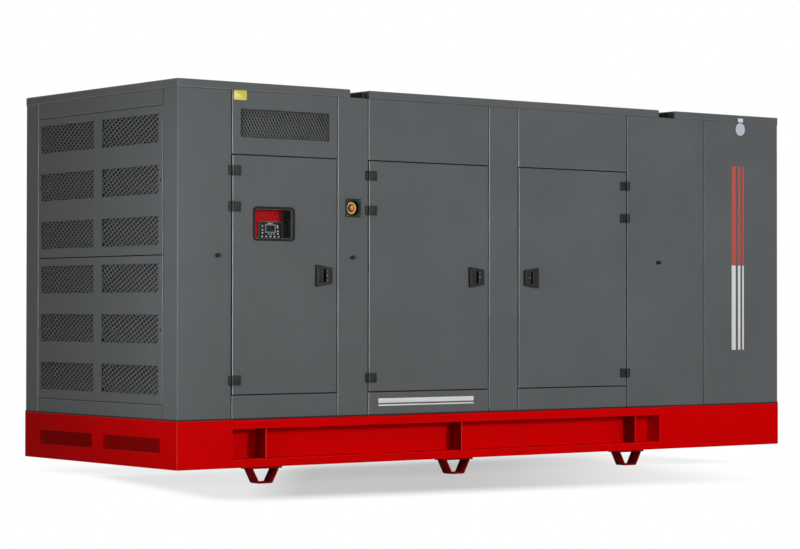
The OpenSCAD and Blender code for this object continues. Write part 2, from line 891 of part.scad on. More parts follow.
// Fixed half: the outer knuckles, the pin and the leaf on the post
module post_hinge_half() {
    reach = knuckle_r + leaf_play;
    block([-reach - post_leaf_l, -leaf_t, 0], [-reach, 0, hinge_h]);
    for (z0 = [0, hinge_h - knuckle_h]) {
        block([-reach - eps, -leaf_t, z0], [0, -leaf_t / 4, z0 + knuckle_h]);
        translate([0, -hinge_stand, z0]) cylinder(r = knuckle_r, h = knuckle_h);
    }
    translate([0, -hinge_stand, 0]) cylinder(r = hinge_pin_r, h = hinge_h);
}

module door_1_hinge_leaves() {
    color(BLACK) at_hinges(DOORS[0]) door_hinge_half();
}

module door_2_hinge_leaves() {
    color(BLACK) at_hinges(DOORS[1]) door_hinge_half();
}

module door_3_hinge_leaves() {
    color(BLACK) at_hinges(DOORS[2]) door_hinge_half();
}

module post_hinge_leaves() {
    color(BLACK) for (d = DOORS) at_hinges(d) post_hinge_half();
}

// ---------------------------------------------------------------- latches

// Housing frame on the door, with the paddle's pin across its cut-out
module latch_housing() {
    difference() {
        toward_front(0, latch_t) latch_outline();
        block([latch_rim, -latch_t - eps, -latch_cut_h / 2],
              [latch_rim + latch_cut_l, eps, latch_cut_h / 2]);
    }
    translate([barrel_u, -barrel_n, -latch_cut_h / 2 - eps])
        cylinder(r = paddle_pin_r, h = latch_cut_h + 2 * eps);
}

// Paddle: a barrel on the pin and a grip plate over the finger recess
module paddle() {
    h = latch_cut_h - 2 * barrel_play;
    difference() {
        union() {
            translate([barrel_u, -barrel_n, -h / 2]) cylinder(r = barrel_r, h = h);
            block([barrel_u, -latch_t, -h / 2], [barrel_u + paddle_l, -latch_t + paddle_t, h / 2]);
        }
        translate([barrel_u, -barrel_n, -h / 2 - eps])
            cylinder(r = paddle_pin_r + pin_play, h = h + 2 * eps);
    }
}

module door_1_latch() {
    color(BLACK) in_latch(DOORS[0]) latch_housing();
}

module door_2_latch() {
    color(BLACK) in_latch(DOORS[1]) latch_housing();
}

module door_3_latch() {
    color(BLACK) in_latch(DOORS[2]) latch_housing();
}

module door_1_paddle() {
    color(BLACK) in_latch(DOORS[0]) paddle();
}

module door_2_paddle() {
    color(BLACK) in_latch(DOORS[1]) paddle();
}

module door_3_paddle() {
    color(BLACK) in_latch(DOORS[2]) paddle();
}

// ---------------------------------------------------------------- small front pieces

module door_buffers() {
    places = [x_door_1 - buffer_1_off, x_door_2 - buffer_2_off, x_right_panel + buffer_3_off];
    color(BLACK) both_sides() for (x = places)
        translate([x, y_front, z_deck + buffer_rise]) rotate([90, 0, 0])
            cylinder(r = buffer_r, h = buffer_l);
}

// Square bezel, a cup behind it, and a floor that guides the stem
module stop_button_housing() {
    color(BLACK) translate([x_stop, y_front, z_stop]) difference() {
        union() {
            block([-bezel_w / 2, -bezel_t, -bezel_w / 2], [bezel_w / 2, 0, bezel_w / 2]);
            rotate([-90, 0, 0]) cylinder(r = cup_r + cup_wall, h = cup_d + cup_floor);
        }
        translate([0, -bezel_t - eps, 0]) rotate([-90, 0, 0])
            cylinder(r = cup_r, h = cup_d + bezel_t + eps);
        rotate([-90, 0, 0]) cylinder(r = stem_r + pin_play, h = cup_d + cup_floor + eps);
    }
}

module stop_button() {
    y_cap = cup_d - button_lift - button_t;
    color("#c0392b") translate([x_stop, y_front, z_stop]) rotate([-90, 0, 0]) {
        translate([0, 0, y_cap]) cylinder(r = button_r, h = button_t);
        translate([0, 0, y_cap]) cylinder(r = stem_r, h = cup_d + cup_floor - y_cap);
    }
}

// ---------------------------------------------------------------- machinery inside

module control_cabinet() {
    z0 = z_window - cabinet_h * 3 / 4;
    y0 = y_front + cabinet_setback;
    color(RED) {
        block([cabinet_x, y0, z0], [cabinet_x + cabinet_w, y0 + cabinet_d, z0 + cabinet_h]);
        for (x = [cabinet_x, cabinet_x + cabinet_w - wall_t])
            block([x, y0 + cabinet_d - wall_t, z_deck], [x + wall_t, y0 + cabinet_d, z0 + eps]);
    }
}

module controller() {
    x0 = cabinet_x + cabinet_w - controller_inset - controller_w;
    color(BLACK)
        translate([x0, y_front + cabinet_setback - controller_t, z_window - controller_drop - controller_h / 2])
            cube([controller_w, controller_t, controller_h]);
}

module alternator() {
    z_axis = machine_z + alternator_r + 60;
    color(STEEL) {
        translate([alternator_x, 0, z_axis]) rotate([0, 90, 0]) cylinder(r = alternator_r, h = alternator_l);
        for (side = [-1, 1])
            block([alternator_x + 120, side * 260 - 60, z_deck], [engine_x - 120, side * 260 + 60, z_axis - 180]);
        block([alternator_x + 80, -220, z_axis], [alternator_x + 520, 220, z_axis + alternator_r + 120]);
    }
}

module engine() {
    z_sump = z_deck + 60;
    z_block = machine_z + 200;
    z_head = machine_z + 720;
    z_top = machine_z + engine_h;
    color(STEEL) {
        block([engine_x + 150, -200, z_sump], [engine_x + engine_l - 150, 200, z_block + eps]);
        block([engine_x + 60, -engine_w / 2, z_block], [engine_x + engine_l - 60, engine_w / 2, z_head]);
        for (side = [-1, 1])
            block([engine_x + 120, side * 220 - 130, z_head - eps], [engine_x + engine_l - 120, side * 220 + 130, z_top - 160]);
        block([engine_x + 300, -80, z_head - eps], [engine_x + engine_l - 300, 80, z_top]);
        translate([engine_x, 0, z_block + 200]) rotate([0, 90, 0]) cylinder(r = 330, h = 61);
        for (side = [-1, 1], x = [engine_x + 220, engine_x + engine_l - 380])
            block([x, side * 330 - 60, z_deck], [x + 160, side * 330 + 60, z_block + 60]);
    }
}

module radiator() {
    color(BLACK) {
        block([radiator_x, -radiator_w / 2, z_deck], [radiator_x + radiator_t, radiator_w / 2, z_deck + radiator_h]);
        translate([radiator_x - 50, 0, z_deck + radiator_h / 2]) rotate([0, 90, 0])
            cylinder(r = 560, h = 51);
    }
}

// ---------------------------------------------------------------- drawing

base_end_boxes();
base_tank();
base_side_rails();
base_gussets();
base_vent_mesh();
feet();
front_left_corner();
grille_header();
header_mesh();
plain_headers();
front_sills();
stop_button_pillar();
plain_pillar();
front_right_panel();
front_right_corner();
door_frames();
back_corners();
back_wall();
back_doors();
back_door_hardware();
end_rails();
left_upper_panel();
left_lower_panel();
left_window_mesh();
right_end_panels();
right_window_mesh();
inlet_baffles();
roof_left_cap();
roof_middle_cap();
roof_right_cap();
lifting_beams();
door_1();
door_1_hinge_leaves();
door_1_latch();
door_1_paddle();
window_gasket();
window_pane();
door_2();
door_2_hinge_leaves();
door_2_latch();
door_2_paddle();
door_3();
door_3_hinge_leaves();
door_3_latch();
door_3_paddle();
post_hinge_leaves();
door_buffers();
stop_button_housing();
stop_button();
control_cabinet();
controller();
engine();
alternator();
radiator();
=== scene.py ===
"""Looks of a canopied generator set, built around its fixed CAD frame.

Every size is in metres unless a name or comment says millimetres, and every place comes from the
frame's own boxes.  +X runs to the set's right end, the doors face -Y and +Z is up.
"""

import json
import math

import bmesh
import bpy
import numpy as np
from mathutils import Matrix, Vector


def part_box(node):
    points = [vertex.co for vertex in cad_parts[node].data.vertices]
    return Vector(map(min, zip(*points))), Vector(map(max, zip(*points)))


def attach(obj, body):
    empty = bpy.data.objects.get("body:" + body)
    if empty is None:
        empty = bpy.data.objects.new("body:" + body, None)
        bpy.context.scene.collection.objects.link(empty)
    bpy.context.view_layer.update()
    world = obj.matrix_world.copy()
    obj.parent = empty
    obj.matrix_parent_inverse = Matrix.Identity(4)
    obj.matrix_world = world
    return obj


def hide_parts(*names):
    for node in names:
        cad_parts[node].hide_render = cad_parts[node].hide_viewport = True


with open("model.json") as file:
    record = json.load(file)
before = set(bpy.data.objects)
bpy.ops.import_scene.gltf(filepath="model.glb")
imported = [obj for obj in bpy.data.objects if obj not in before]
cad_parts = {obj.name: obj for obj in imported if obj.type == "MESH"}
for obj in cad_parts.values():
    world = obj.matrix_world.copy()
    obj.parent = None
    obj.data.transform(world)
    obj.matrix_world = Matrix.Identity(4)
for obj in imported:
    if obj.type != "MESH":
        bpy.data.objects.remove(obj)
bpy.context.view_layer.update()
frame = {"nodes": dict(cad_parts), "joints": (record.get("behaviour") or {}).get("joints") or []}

bl_info = {
    "name": "Generator set",
    "version": (1, 0, 0),
    "blender": (4, 5, 0),
    "location": "3D View > Sidebar > Generator set",
    "description": "Dresses a canopied generator set: sheet, expanded mesh, latches, machinery and stage",
    "category": "Object",
}

MM = 0.001
HOUSING = "housing"
DOORS = (1, 2, 3)
SIDES = (-1, 1)


# ------------------------------------------------------------------ places taken from the frame

def low_high(node):
    """Lowest and highest corner of a CAD node, as arrays."""
    low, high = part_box(node)
    return np.array(low), np.array(high)


def middle_span(node):
    """Middle of a CAD node's box, and its span along each axis."""
    low, high = low_high(node)
    return (low + high) / 2, high - low


def solids(node):
    """Boxes of the separate solids in a CAD node, ordered by x, then y, then z.

    Corners at one place are one point.  Each point starts with its own label, and every triangle
    hands its smallest label to its three corners until no label changes.
    """
    mesh = frame["nodes"][node].data
    places = np.empty(3 * len(mesh.vertices))
    mesh.vertices.foreach_get("co", places)
    places = places.reshape(-1, 3)
    points, where = np.unique(np.round(places, 6), axis=0, return_inverse=True)
    corners = np.empty(len(mesh.loops), int)
    mesh.loops.foreach_get("vertex_index", corners)
    corners = where.reshape(-1)[corners].reshape(-1, 3)
    label = np.arange(len(points))
    while True:
        spread = label.copy()
        smallest = label[corners].min(1)
        for column in range(3):
            np.minimum.at(spread, corners[:, column], smallest)
        if np.array_equal(spread, label):
            break
        label = spread
    boxes = [(points[label == one].min(0), points[label == one].max(0)) for one in np.unique(label)]
    return sorted(boxes, key=lambda box: tuple(np.round(box[0], 3)))


WALL = low_high("front_right_panel")
FACE_Y = WALL[0][1]
DECK_Z = WALL[0][2]
EAVES_Z = WALL[1][2]
END_X = low_high("front_left_corner")[0][0]
# A face deeper than this inside the walls is lined, and a seam sets a fold back by less than a rebate.
LINING_DEPTH = 45 * MM
REBATE = 4 * MM


# ------------------------------------------------------------------ shapes worked out as arrays

def mm(*values):
    """Millimetres, or rows of them, as an array in metres."""
    return MM * np.array(values, float)


def loft(rings, closed=False):
    """Skin over a stack of rings (m, k, 3): a quad joins neighbours in a ring to the next ring.

    An open stack is capped at both ends, and a closed one joins its last ring to its first.
    """
    rings = np.asarray(rings, float)
    m, k = rings.shape[:2]
    i = np.arange(m if closed else m - 1)[:, None]
    j = np.arange(k)[None, :]
    after, beside = (i + 1) % m, (j + 1) % k
    quads = np.stack([i * k + j, i * k + beside, after * k + beside, after * k + j], -1)
    faces = quads.reshape(-1, 4).tolist()
    if not closed:
        faces += [list(range(k))[::-1], list(range((m - 1) * k, m * k))]
    return rings.reshape(-1, 3), faces


def lathe(profile, steps=24, closed=False):
    """Turned shape about the third axis: each (radius, height) of the profile becomes a circle.

    A closed profile makes a ring.
    """
    profile = np.asarray(profile, float)
    angle = np.linspace(0, 2 * math.pi, steps, endpoint=False)
    circle = np.stack([np.cos(angle), np.sin(angle)], -1)
    rings = np.empty((len(profile), steps, 3))
    rings[..., :2] = profile[:, 0, None, None] * circle
    rings[..., 2] = profile[:, 1, None]
    return loft(rings, closed)


def rounded(corners, radius, steps=5):
    """Closed outline whose corners are arcs tangent to both sides, all of one radius."""
    p = np.asarray(corners, float)
    to_last = np.roll(p, 1, 0) - p
    to_next = np.roll(p, -1, 0) - p
    to_last /= np.linalg.norm(to_last, axis=1, keepdims=True)
    to_next /= np.linalg.norm(to_next, axis=1, keepdims=True)
    half = np.arccos(np.clip((to_last * to_next).sum(1), -1, 1)) / 2
    middle = to_last + to_next
    middle /= np.linalg.norm(middle, axis=1, keepdims=True)
    centre = p + middle * (radius / np.sin(half))[:, None]
    start = p + to_last * (radius / np.tan(half))[:, None] - centre
    end = p + to_next * (radius / np.tan(half))[:, None] - centre
    from_angle = np.arctan2(start[:, 1], start[:, 0])
    turn = np.arctan2(end[:, 1], end[:, 0]) - from_angle
    turn = (turn + math.pi) % (2 * math.pi) - math.pi
    angle = from_angle[:, None] + turn[:, None] * np.linspace(0, 1, steps)
    arc = centre[:, None] + radius * np.stack([np.cos(angle), np.sin(angle)], -1)
    return arc.reshape(-1, 2)


def rectangle(width, height, radius, steps=5):
    """Centred rectangle outline with rounded corners."""
    w, h = width / 2, height / 2
    return rounded([(-w, -h), (w, -h), (w, h), (-w, h)], radius, steps)


def circle(radius, steps=20):
    """Circle outline whose first quarter is centred on the lower left, as a rectangle's first corner is."""
    angle = (np.arange(steps) - (steps / 4 - 1) / 2) * 2 * math.pi / steps - 3 * math.pi / 4
    return radius * np.stack([np.cos(angle), np.sin(angle)], -1)


def shrunk(outline, distance):
    """Outline moved inwards by a distance, each point square to the line between its neighbours."""
    along = np.roll(outline, -1, 0) - np.roll(outline, 1, 0)
    along /= np.maximum(np.linalg.norm(along, axis=1, keepdims=True), 1e-12)
    return outline + distance * np.stack([-along[:, 1], along[:, 0]], -1)


def level(outline, height):
    """Outline lifted to a height along the third axis."""
    return np.column_stack([outline, np.full(len(outline), height)])


def rim_steps(rim, steps=4):
    """Quarter circle of a rim: pairs of how far in and how far down, from the side to the top."""
    angle = np.linspace(0, math.pi / 2, steps)
    return np.stack([rim * (1 - np.cos(angle)), rim * (1 - np.sin(angle))], -1)


def pad(outline, low, high, rim=0.0, both=False):
    """Raised outline from low to high, its upper rim rounded, and its lower one too if both."""
    upper = [level(shrunk(outline, inwards), high - down) for inwards, down in rim_steps(rim)]
    lower = [level(outline, low)]
    if both:
        lower = [level(shrunk(outline, inwards), low + down) for inwards, down in rim_steps(rim)[::-1]]
    return loft(np.array(lower + upper))


def collar(outer, inner, low, high, rim=0.0):
    """Raised ring between two outlines with equal counts of points, both upper rims rounded."""
    curve = rim_steps(rim)
    rings = [level(outer, low)]
    rings += [level(shrunk(outer, inwards), high - down) for inwards, down in curve]
    rings += [level(shrunk(inner, -inwards), high - down) for inwards, down in curve[::-1]]
    rings += [level(inner, low)]
    return loft(np.array(rings), closed=True)


def block(low, high, rim):
    """Block between two corners, every edge rounded: a rounded rectangle drawn in at both ends."""
    low, high = np.asarray(low, float), np.asarray(high, float)
    middle, size = (low + high) / 2, high - low
    verts, faces = pad(rectangle(size[0], size[1], rim, 4), -size[2] / 2, size[2] / 2, rim, both=True)
    return verts + middle, faces


def tube(path, radius, steps=12, smooth=0):
    """Round tube along a path: a circle square to the path at each point.

    The path is first smoothed by moving corners in: each pass cuts every corner at a quarter and
    three quarters of its sides.
    """
    path = np.asarray(path, float)
    for _ in range(smooth):
        cut = np.stack([0.75 * path[:-1] + 0.25 * path[1:], 0.25 * path[:-1] + 0.75 * path[1:]], 1)
        path = np.vstack([path[:1], cut.reshape(-1, 3), path[-1:]])
    along = np.gradient(path, axis=0)
    along /= np.linalg.norm(along, axis=1, keepdims=True)
    spread = np.ptp(along, axis=0)
    side = np.eye(3)[int(np.argmin(spread + np.abs(along).max(0)))]
    first = np.cross(along, side)
    first /= np.linalg.norm(first, axis=1, keepdims=True)
    second = np.cross(along, first)
    angle = np.linspace(0, 2 * math.pi, steps, endpoint=False)
    rings = path[:, None] + radius * (
        first[:, None] * np.cos(angle)[:, None] + second[:, None] * np.sin(angle)[:, None])
    return loft(rings)


def bars(start, end, wide, thick):
    """Straight bars: each pair of ends is widened by +-wide and +-thick into a six-sided bar."""
    ring = np.stack([-wide - thick, wide - thick, wide + thick, thick - wide], 1)
    verts = np.concatenate([start[:, None] + ring, end[:, None] + ring], 1)
    six = np.array([[3, 2, 1, 0], [4, 5, 6, 7], [0, 1, 5, 4], [1, 2, 6, 5], [2, 3, 7, 6], [3, 0, 4, 7]])
    faces = six[None] + 8 * np.arange(len(verts))[:, None, None]
    return verts.reshape(-1, 3), faces.reshape(-1, 4).tolist()


def diamonds(width, height, cell_w, cell_h, strand_w, strand_t, tilt, turn=0.0):
    """Expanded mesh over a centred rectangle, as bars from knuckle to knuckle.

    Row j is a zigzag about the height j half cells up, its corners a quarter cell above and below
    by turns, so that each row's corners meet the next row's.  The whole net is turned by an angle,
    and the strands whose middle leaves the rectangle are dropped.  A strand is turned about its own
    length by the tilt, to the right on rising strands and to the left on falling ones.
    """
    reach = math.hypot(width, height) / 2
    columns, rows = math.ceil(4 * reach / cell_w), math.ceil(4 * reach / cell_h)
    x = (np.arange(columns + 1) - columns / 2) * cell_w / 2
    z = (np.arange(rows) + 0.5 - rows / 2) * cell_h / 2
    rise = cell_h / 4 * (-1.0) ** np.add.outer(np.arange(rows), np.arange(columns + 1))
    knots = np.stack(np.broadcast_arrays(x[None], z[:, None] + rise, 0 * rise), -1)
    c, q = math.cos(math.radians(turn)), math.sin(math.radians(turn))
    knots = knots @ np.array([[c, q, 0.0], [-q, c, 0.0], [0.0, 0.0, 1.0]])
    start, end = knots[:, :-1].reshape(-1, 3), knots[:, 1:].reshape(-1, 3)
    inside = (np.abs(start + end)[:, :2] <= (width, height)).all(1)
    start, end = start[inside], end[inside]
    along = end - start
    along /= np.linalg.norm(along, axis=1, keepdims=True)
    across = np.stack([along[:, 1], -along[:, 0], 0 * along[:, 0]], -1)
    out = np.array([0.0, 0.0, 1.0])
    slope, lean = np.sign(along[:, 1:2]), abs(math.radians(tilt))
    wide = math.cos(lean) * across - math.sin(lean) * np.sign(across[:, :1]) * slope * out
    thick = np.cross(wide, along)
    over = 0.35 * strand_w * along
    return bars(start - over, end + over, wide * strand_w / 2, thick * strand_t / 2)


def repeated(shape, places):
    """One shape at many places, as one mesh."""
    verts, faces = shape
    places = np.atleast_2d(places)
    moved = (places[:, None] + verts[None]).reshape(-1, 3)
    shift = len(verts)
    return moved, [[index + shift * copy for index in face] for copy in range(len(places)) for face in faces]


def spun(shape, count):
    """Copies of a shape, spread evenly round the third axis."""
    verts, faces = shape
    turns = [(math.cos(a), math.sin(a)) for a in np.linspace(0, 2 * math.pi, count, endpoint=False)]
    return [(verts @ np.array([[c, s, 0], [-s, c, 0], [0, 0, 1]]), faces) for c, s in turns]


def plane(origin, right, up):
    """Face to draw on: its origin, and rows for right, up and out of it."""
    right, up = np.asarray(right, float), np.asarray(up, float)
    return np.asarray(origin, float), np.stack([right, up, np.cross(right, up)])


def on(face, *shapes):
    """Shapes drawn in a face's right, up and out, set in the object's frame."""
    origin, rows = face
    return [(origin + verts @ rows, faces) for verts, faces in shapes]


def front(x, z, y=None, side=1):
    """Face on the front wall at x and z, or mirrored left to right if side is -1."""
    origin, rows = plane((x, FACE_Y if y is None else y, z), (1, 0, 0), (0, 0, 1))
    rows[0] *= side
    return origin, rows


def along_x(x, y, z):
    """Face whose out is +X, for shapes turned or raised along the set."""
    return plane((x, y, z), (0, 1, 0), (0, 0, 1))


# ------------------------------------------------------------------ pieces

def piece(name, shapes, material, body=HOUSING, stands_for=(), angle=35, merge=True):
    """Joins shapes into one object: corners merged, faces turned outwards, sharp past the angle."""
    verts, faces, count = [], [], 0
    for shape_verts, shape_faces in shapes:
        verts.append(shape_verts)
        faces += [[index + count for index in face] for face in shape_faces]
        count += len(shape_verts)
    mesh = bpy.data.meshes.new(name)
    mesh.from_pydata(np.vstack(verts), [], faces)
    work = bmesh.new()
    work.from_mesh(mesh)
    if merge:
        bmesh.ops.remove_doubles(work, verts=work.verts, dist=1e-6)
    bmesh.ops.recalc_face_normals(work, faces=work.faces)
    work.to_mesh(mesh)
    work.free()
    return settle(name, mesh, (material,), body, stands_for, angle)


def settle(name, mesh, materials, body, stands_for, angle):
    """Puts a finished mesh in the scene as a piece that rides on a body, in its first material's slot."""
    for material in materials:
        mesh.materials.append(MATERIALS[material])
    mesh.polygons.foreach_set("use_smooth", np.full(len(mesh.polygons), angle > 0))
    if angle > 0:
        mesh.set_sharp_from_angle(angle=math.radians(angle))
    made = bpy.data.objects.new(name, mesh)
    bpy.context.scene.collection.objects.link(made)
    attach(made, body)
    if stands_for:
        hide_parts(*stands_for)
    return made


def folded(node, radius, materials, body=HOUSING, least=120 * MM):
    """Stands for a CAD node: a merged copy whose long edges are bent to a radius.

    Flat triangles become whole faces, and each square convex edge longer than least is rounded.
    With three materials only edges on the outer faces are, faces deeper than the wall's skin take
    the second material, and the bends take the third.
    """
    work = bmesh.new()
    work.from_mesh(frame["nodes"][node].data)
    bmesh.ops.remove_doubles(work, verts=work.verts, dist=1e-6)
    bmesh.ops.dissolve_limit(work, angle_limit=math.radians(0.5), verts=work.verts, edges=work.edges)
    boxes = solids(node)
    edges = [
        edge for edge in work.edges
        if edge.is_manifold and edge.is_convex and edge.calc_length() > least
        and edge.calc_face_angle() > math.radians(80) and (len(materials) == 1 or outside(edge, boxes))
    ]
    bmesh.ops.bevel(work, geom=edges, offset=radius, offset_type="OFFSET", segments=3,
                    profile=0.5, affect="EDGES", clamp_overlap=False, material=len(materials) - 1)
    if len(materials) > 1:
        for face in work.faces:
            if face.material_index != 2:
                face.material_index = int(depth(face.calc_center_median()) > LINING_DEPTH)
    mesh = bpy.data.meshes.new(node + "_sheet")
    work.to_mesh(mesh)
    work.free()
    return settle(node + "_sheet", mesh, materials, body, [node], 0)


def depth(point):
    """How far a point lies inside the canopy's outer faces; the roof and the base are all outside."""
    if point.z > EAVES_Z + MM or point.z < DECK_Z - MM:
        return 0
    return min(abs(FACE_Y) - abs(point.y), abs(END_X) - abs(point.x))


def outside(edge, boxes):
    """Whether an edge is a fold that shows.

    Both its ends lie within a millimetre of an outer face, and on the walls its middle lies within a
    rebate of two sides of a solid's box, so the cut edges of an opening stay sharp.
    """
    if any(depth(vert.co) > MM for vert in edge.verts):
        return False
    middle = np.array((edge.verts[0].co + edge.verts[1].co) / 2)
    if middle[2] > EAVES_Z + MM or middle[2] < DECK_Z - MM:
        return True
    return any((np.minimum(abs(middle - low), abs(middle - high)) < REBATE).sum() > 1 for low, high in boxes)


# ------------------------------------------------------------------ materials

def linear(sheet_colour):
    """sRGB hex colour as linear red, green, blue and 1."""
    value = np.array([int(sheet_colour[i:i + 2], 16) for i in (1, 3, 5)]) / 255
    value = np.where(value <= 0.04045, value / 12.92, ((value + 0.055) / 1.055) ** 2.4)
    return (*value, 1.0)


def add(tree, kind, settings=(), links=()):
    """Adds a node: settings name its properties or input sockets, and links feed its sockets."""
    node = tree.nodes.new(kind)
    for name, value in dict(settings).items():
        if isinstance(name, str) and hasattr(node, name):
            setattr(node, name, value)
        else:
            node.inputs[name].default_value = value
    for name, source in dict(links).items():
        tree.links.new(source, node.inputs[name])
    return node


def math_node(tree, operation, links, settings=()):
    """Output of a math node, its inputs linked or set by number."""
    return add(tree, "ShaderNodeMath", {"operation": operation, **dict(settings)}, links).outputs[0]


def blank(name, constants):
    """New material: an output, a shader with constants on its own sockets, and Object coordinates."""
    material = bpy.data.materials.new(name)
    material.use_nodes = True
    tree = material.node_tree
    tree.nodes.clear()
    shader = add(tree, "ShaderNodeBsdfPrincipled", constants)
    add(tree, "ShaderNodeOutputMaterial", links={"Surface": shader.outputs[0]})
    return material, tree, shader, add(tree, "ShaderNodeTexCoord").outputs["Object"]


def coat(tree, shader, share, colours, height, relief):
    """Feeds a shader's colour from a mix of two by share, and its normal from a relief in millimetres.

    Two equal colours make one constant on the shader's own socket.
    """
    first, second = (linear(colour) if isinstance(colour, str) else colour for colour in colours)
    if colours[0] == colours[1]:
        shader.inputs["Base Color"].default_value = first
    else:
        mix = add(tree, "ShaderNodeMix", {"data_type": "RGBA", 6: first, 7: second}, {0: share})
        tree.links.new(mix.outputs[2], shader.inputs["Base Color"])
    bump = add(tree, "ShaderNodeBump", {"Distance": relief * MM, "Strength": 1.0}, {"Height": height})
    tree.links.new(bump.outputs[0], shader.inputs["Normal"])


def finish(name, colour, other, cloud, grain, relief, rough, rough_span=0.08, shine=0.5, metal=0.0):
    """Painted, moulded or cast surface.

    Its colour drifts from colour to other in clouds of that size in metres, and its roughness drifts
    with them.  Its grain, of that size in millimetres, stands relief millimetres high.
    """
    material, tree, shader, where = blank(name, {"Specular IOR Level": shine, "Metallic": metal})
    clouds = add(tree, "ShaderNodeTexNoise", {"Scale": 1 / cloud, "Detail": 3.0, "Roughness": 0.6},
                 {"Vector": where}).outputs["Fac"]
    grains = add(tree, "ShaderNodeTexNoise", {"Scale": 1 / (grain * MM), "Detail": 2.0},
                 {"Vector": where}).outputs["Fac"]
    both = math_node(tree, "MULTIPLY_ADD", {0: grains, 2: clouds}, {1: 0.35})
    ramp = add(tree, "ShaderNodeMapRange", {"From Min": 0.4, "From Max": 0.95}, {"Value": both})
    spread = add(tree, "ShaderNodeMapRange", {"To Min": rough - rough_span, "To Max": rough + rough_span},
                 {"Value": clouds})
    tree.links.new(spread.outputs[0], shader.inputs["Roughness"])
    coat(tree, shader, ramp.outputs[0], (colour, other), grains, relief)
    return material


def wave(tree, where, axis, pitch):
    """Wave along one axis, its pitch in millimetres."""
    return add(tree, "ShaderNodeTexWave", {"bands_direction": axis, "Scale": math.pi / 10 / (pitch * MM)},
               {"Vector": where}).outputs["Fac"]


def striped(name, colour, gap_colour, pitch, share, axis, rough, relief, metal):
    """Surface of fine parallel fins: a wave of that pitch along one axis, which is also the relief.

    Up to the given share of each pitch shows the gap colour.
    """
    material, tree, shader, where = blank(name, {"Metallic": metal, "Roughness": rough})
    fins = wave(tree, where, axis, pitch)
    step = add(tree, "ShaderNodeMapRange", {"From Min": share - 0.15, "From Max": share + 0.15},
               {"Value": fins})
    coat(tree, shader, step.outputs[0], (gap_colour, colour), fins, relief)
    return material


def woven(name, colour, other, pitch, rough, relief):
    """Fabric-faced foam: two crossed waves of the thread pitch, over soft clouds of colour."""
    material, tree, shader, where = blank(name, {"Roughness": rough})
    threads = math_node(tree, "MAXIMUM", {0: wave(tree, where, "X", pitch), 1: wave(tree, where, "Z", pitch)})
    clouds = add(tree, "ShaderNodeTexNoise", {"Scale": 12.0}, {"Vector": where}).outputs["Fac"]
    coat(tree, shader, math_node(tree, "MULTIPLY", {0: threads, 1: clouds}), (colour, other), threads, relief)
    return material


def clear_sheet(name, colour, rough):
    """Toughened glass: nearly clear, a mirror at a slant, and a trace of grime in clouds."""
    material, tree, shader, where = blank(name, {"Base Color": linear(colour), "Roughness": rough})
    clouds = add(tree, "ShaderNodeTexNoise", {"Scale": 25.0, "Detail": 4.0}, {"Vector": where}).outputs["Fac"]
    grime = add(tree, "ShaderNodeMapRange", {"To Min": 0.03, "To Max": 0.10}, {"Value": clouds})
    tree.links.new(grime.outputs[0], shader.inputs["Alpha"])
    return material


MATERIALS = {}


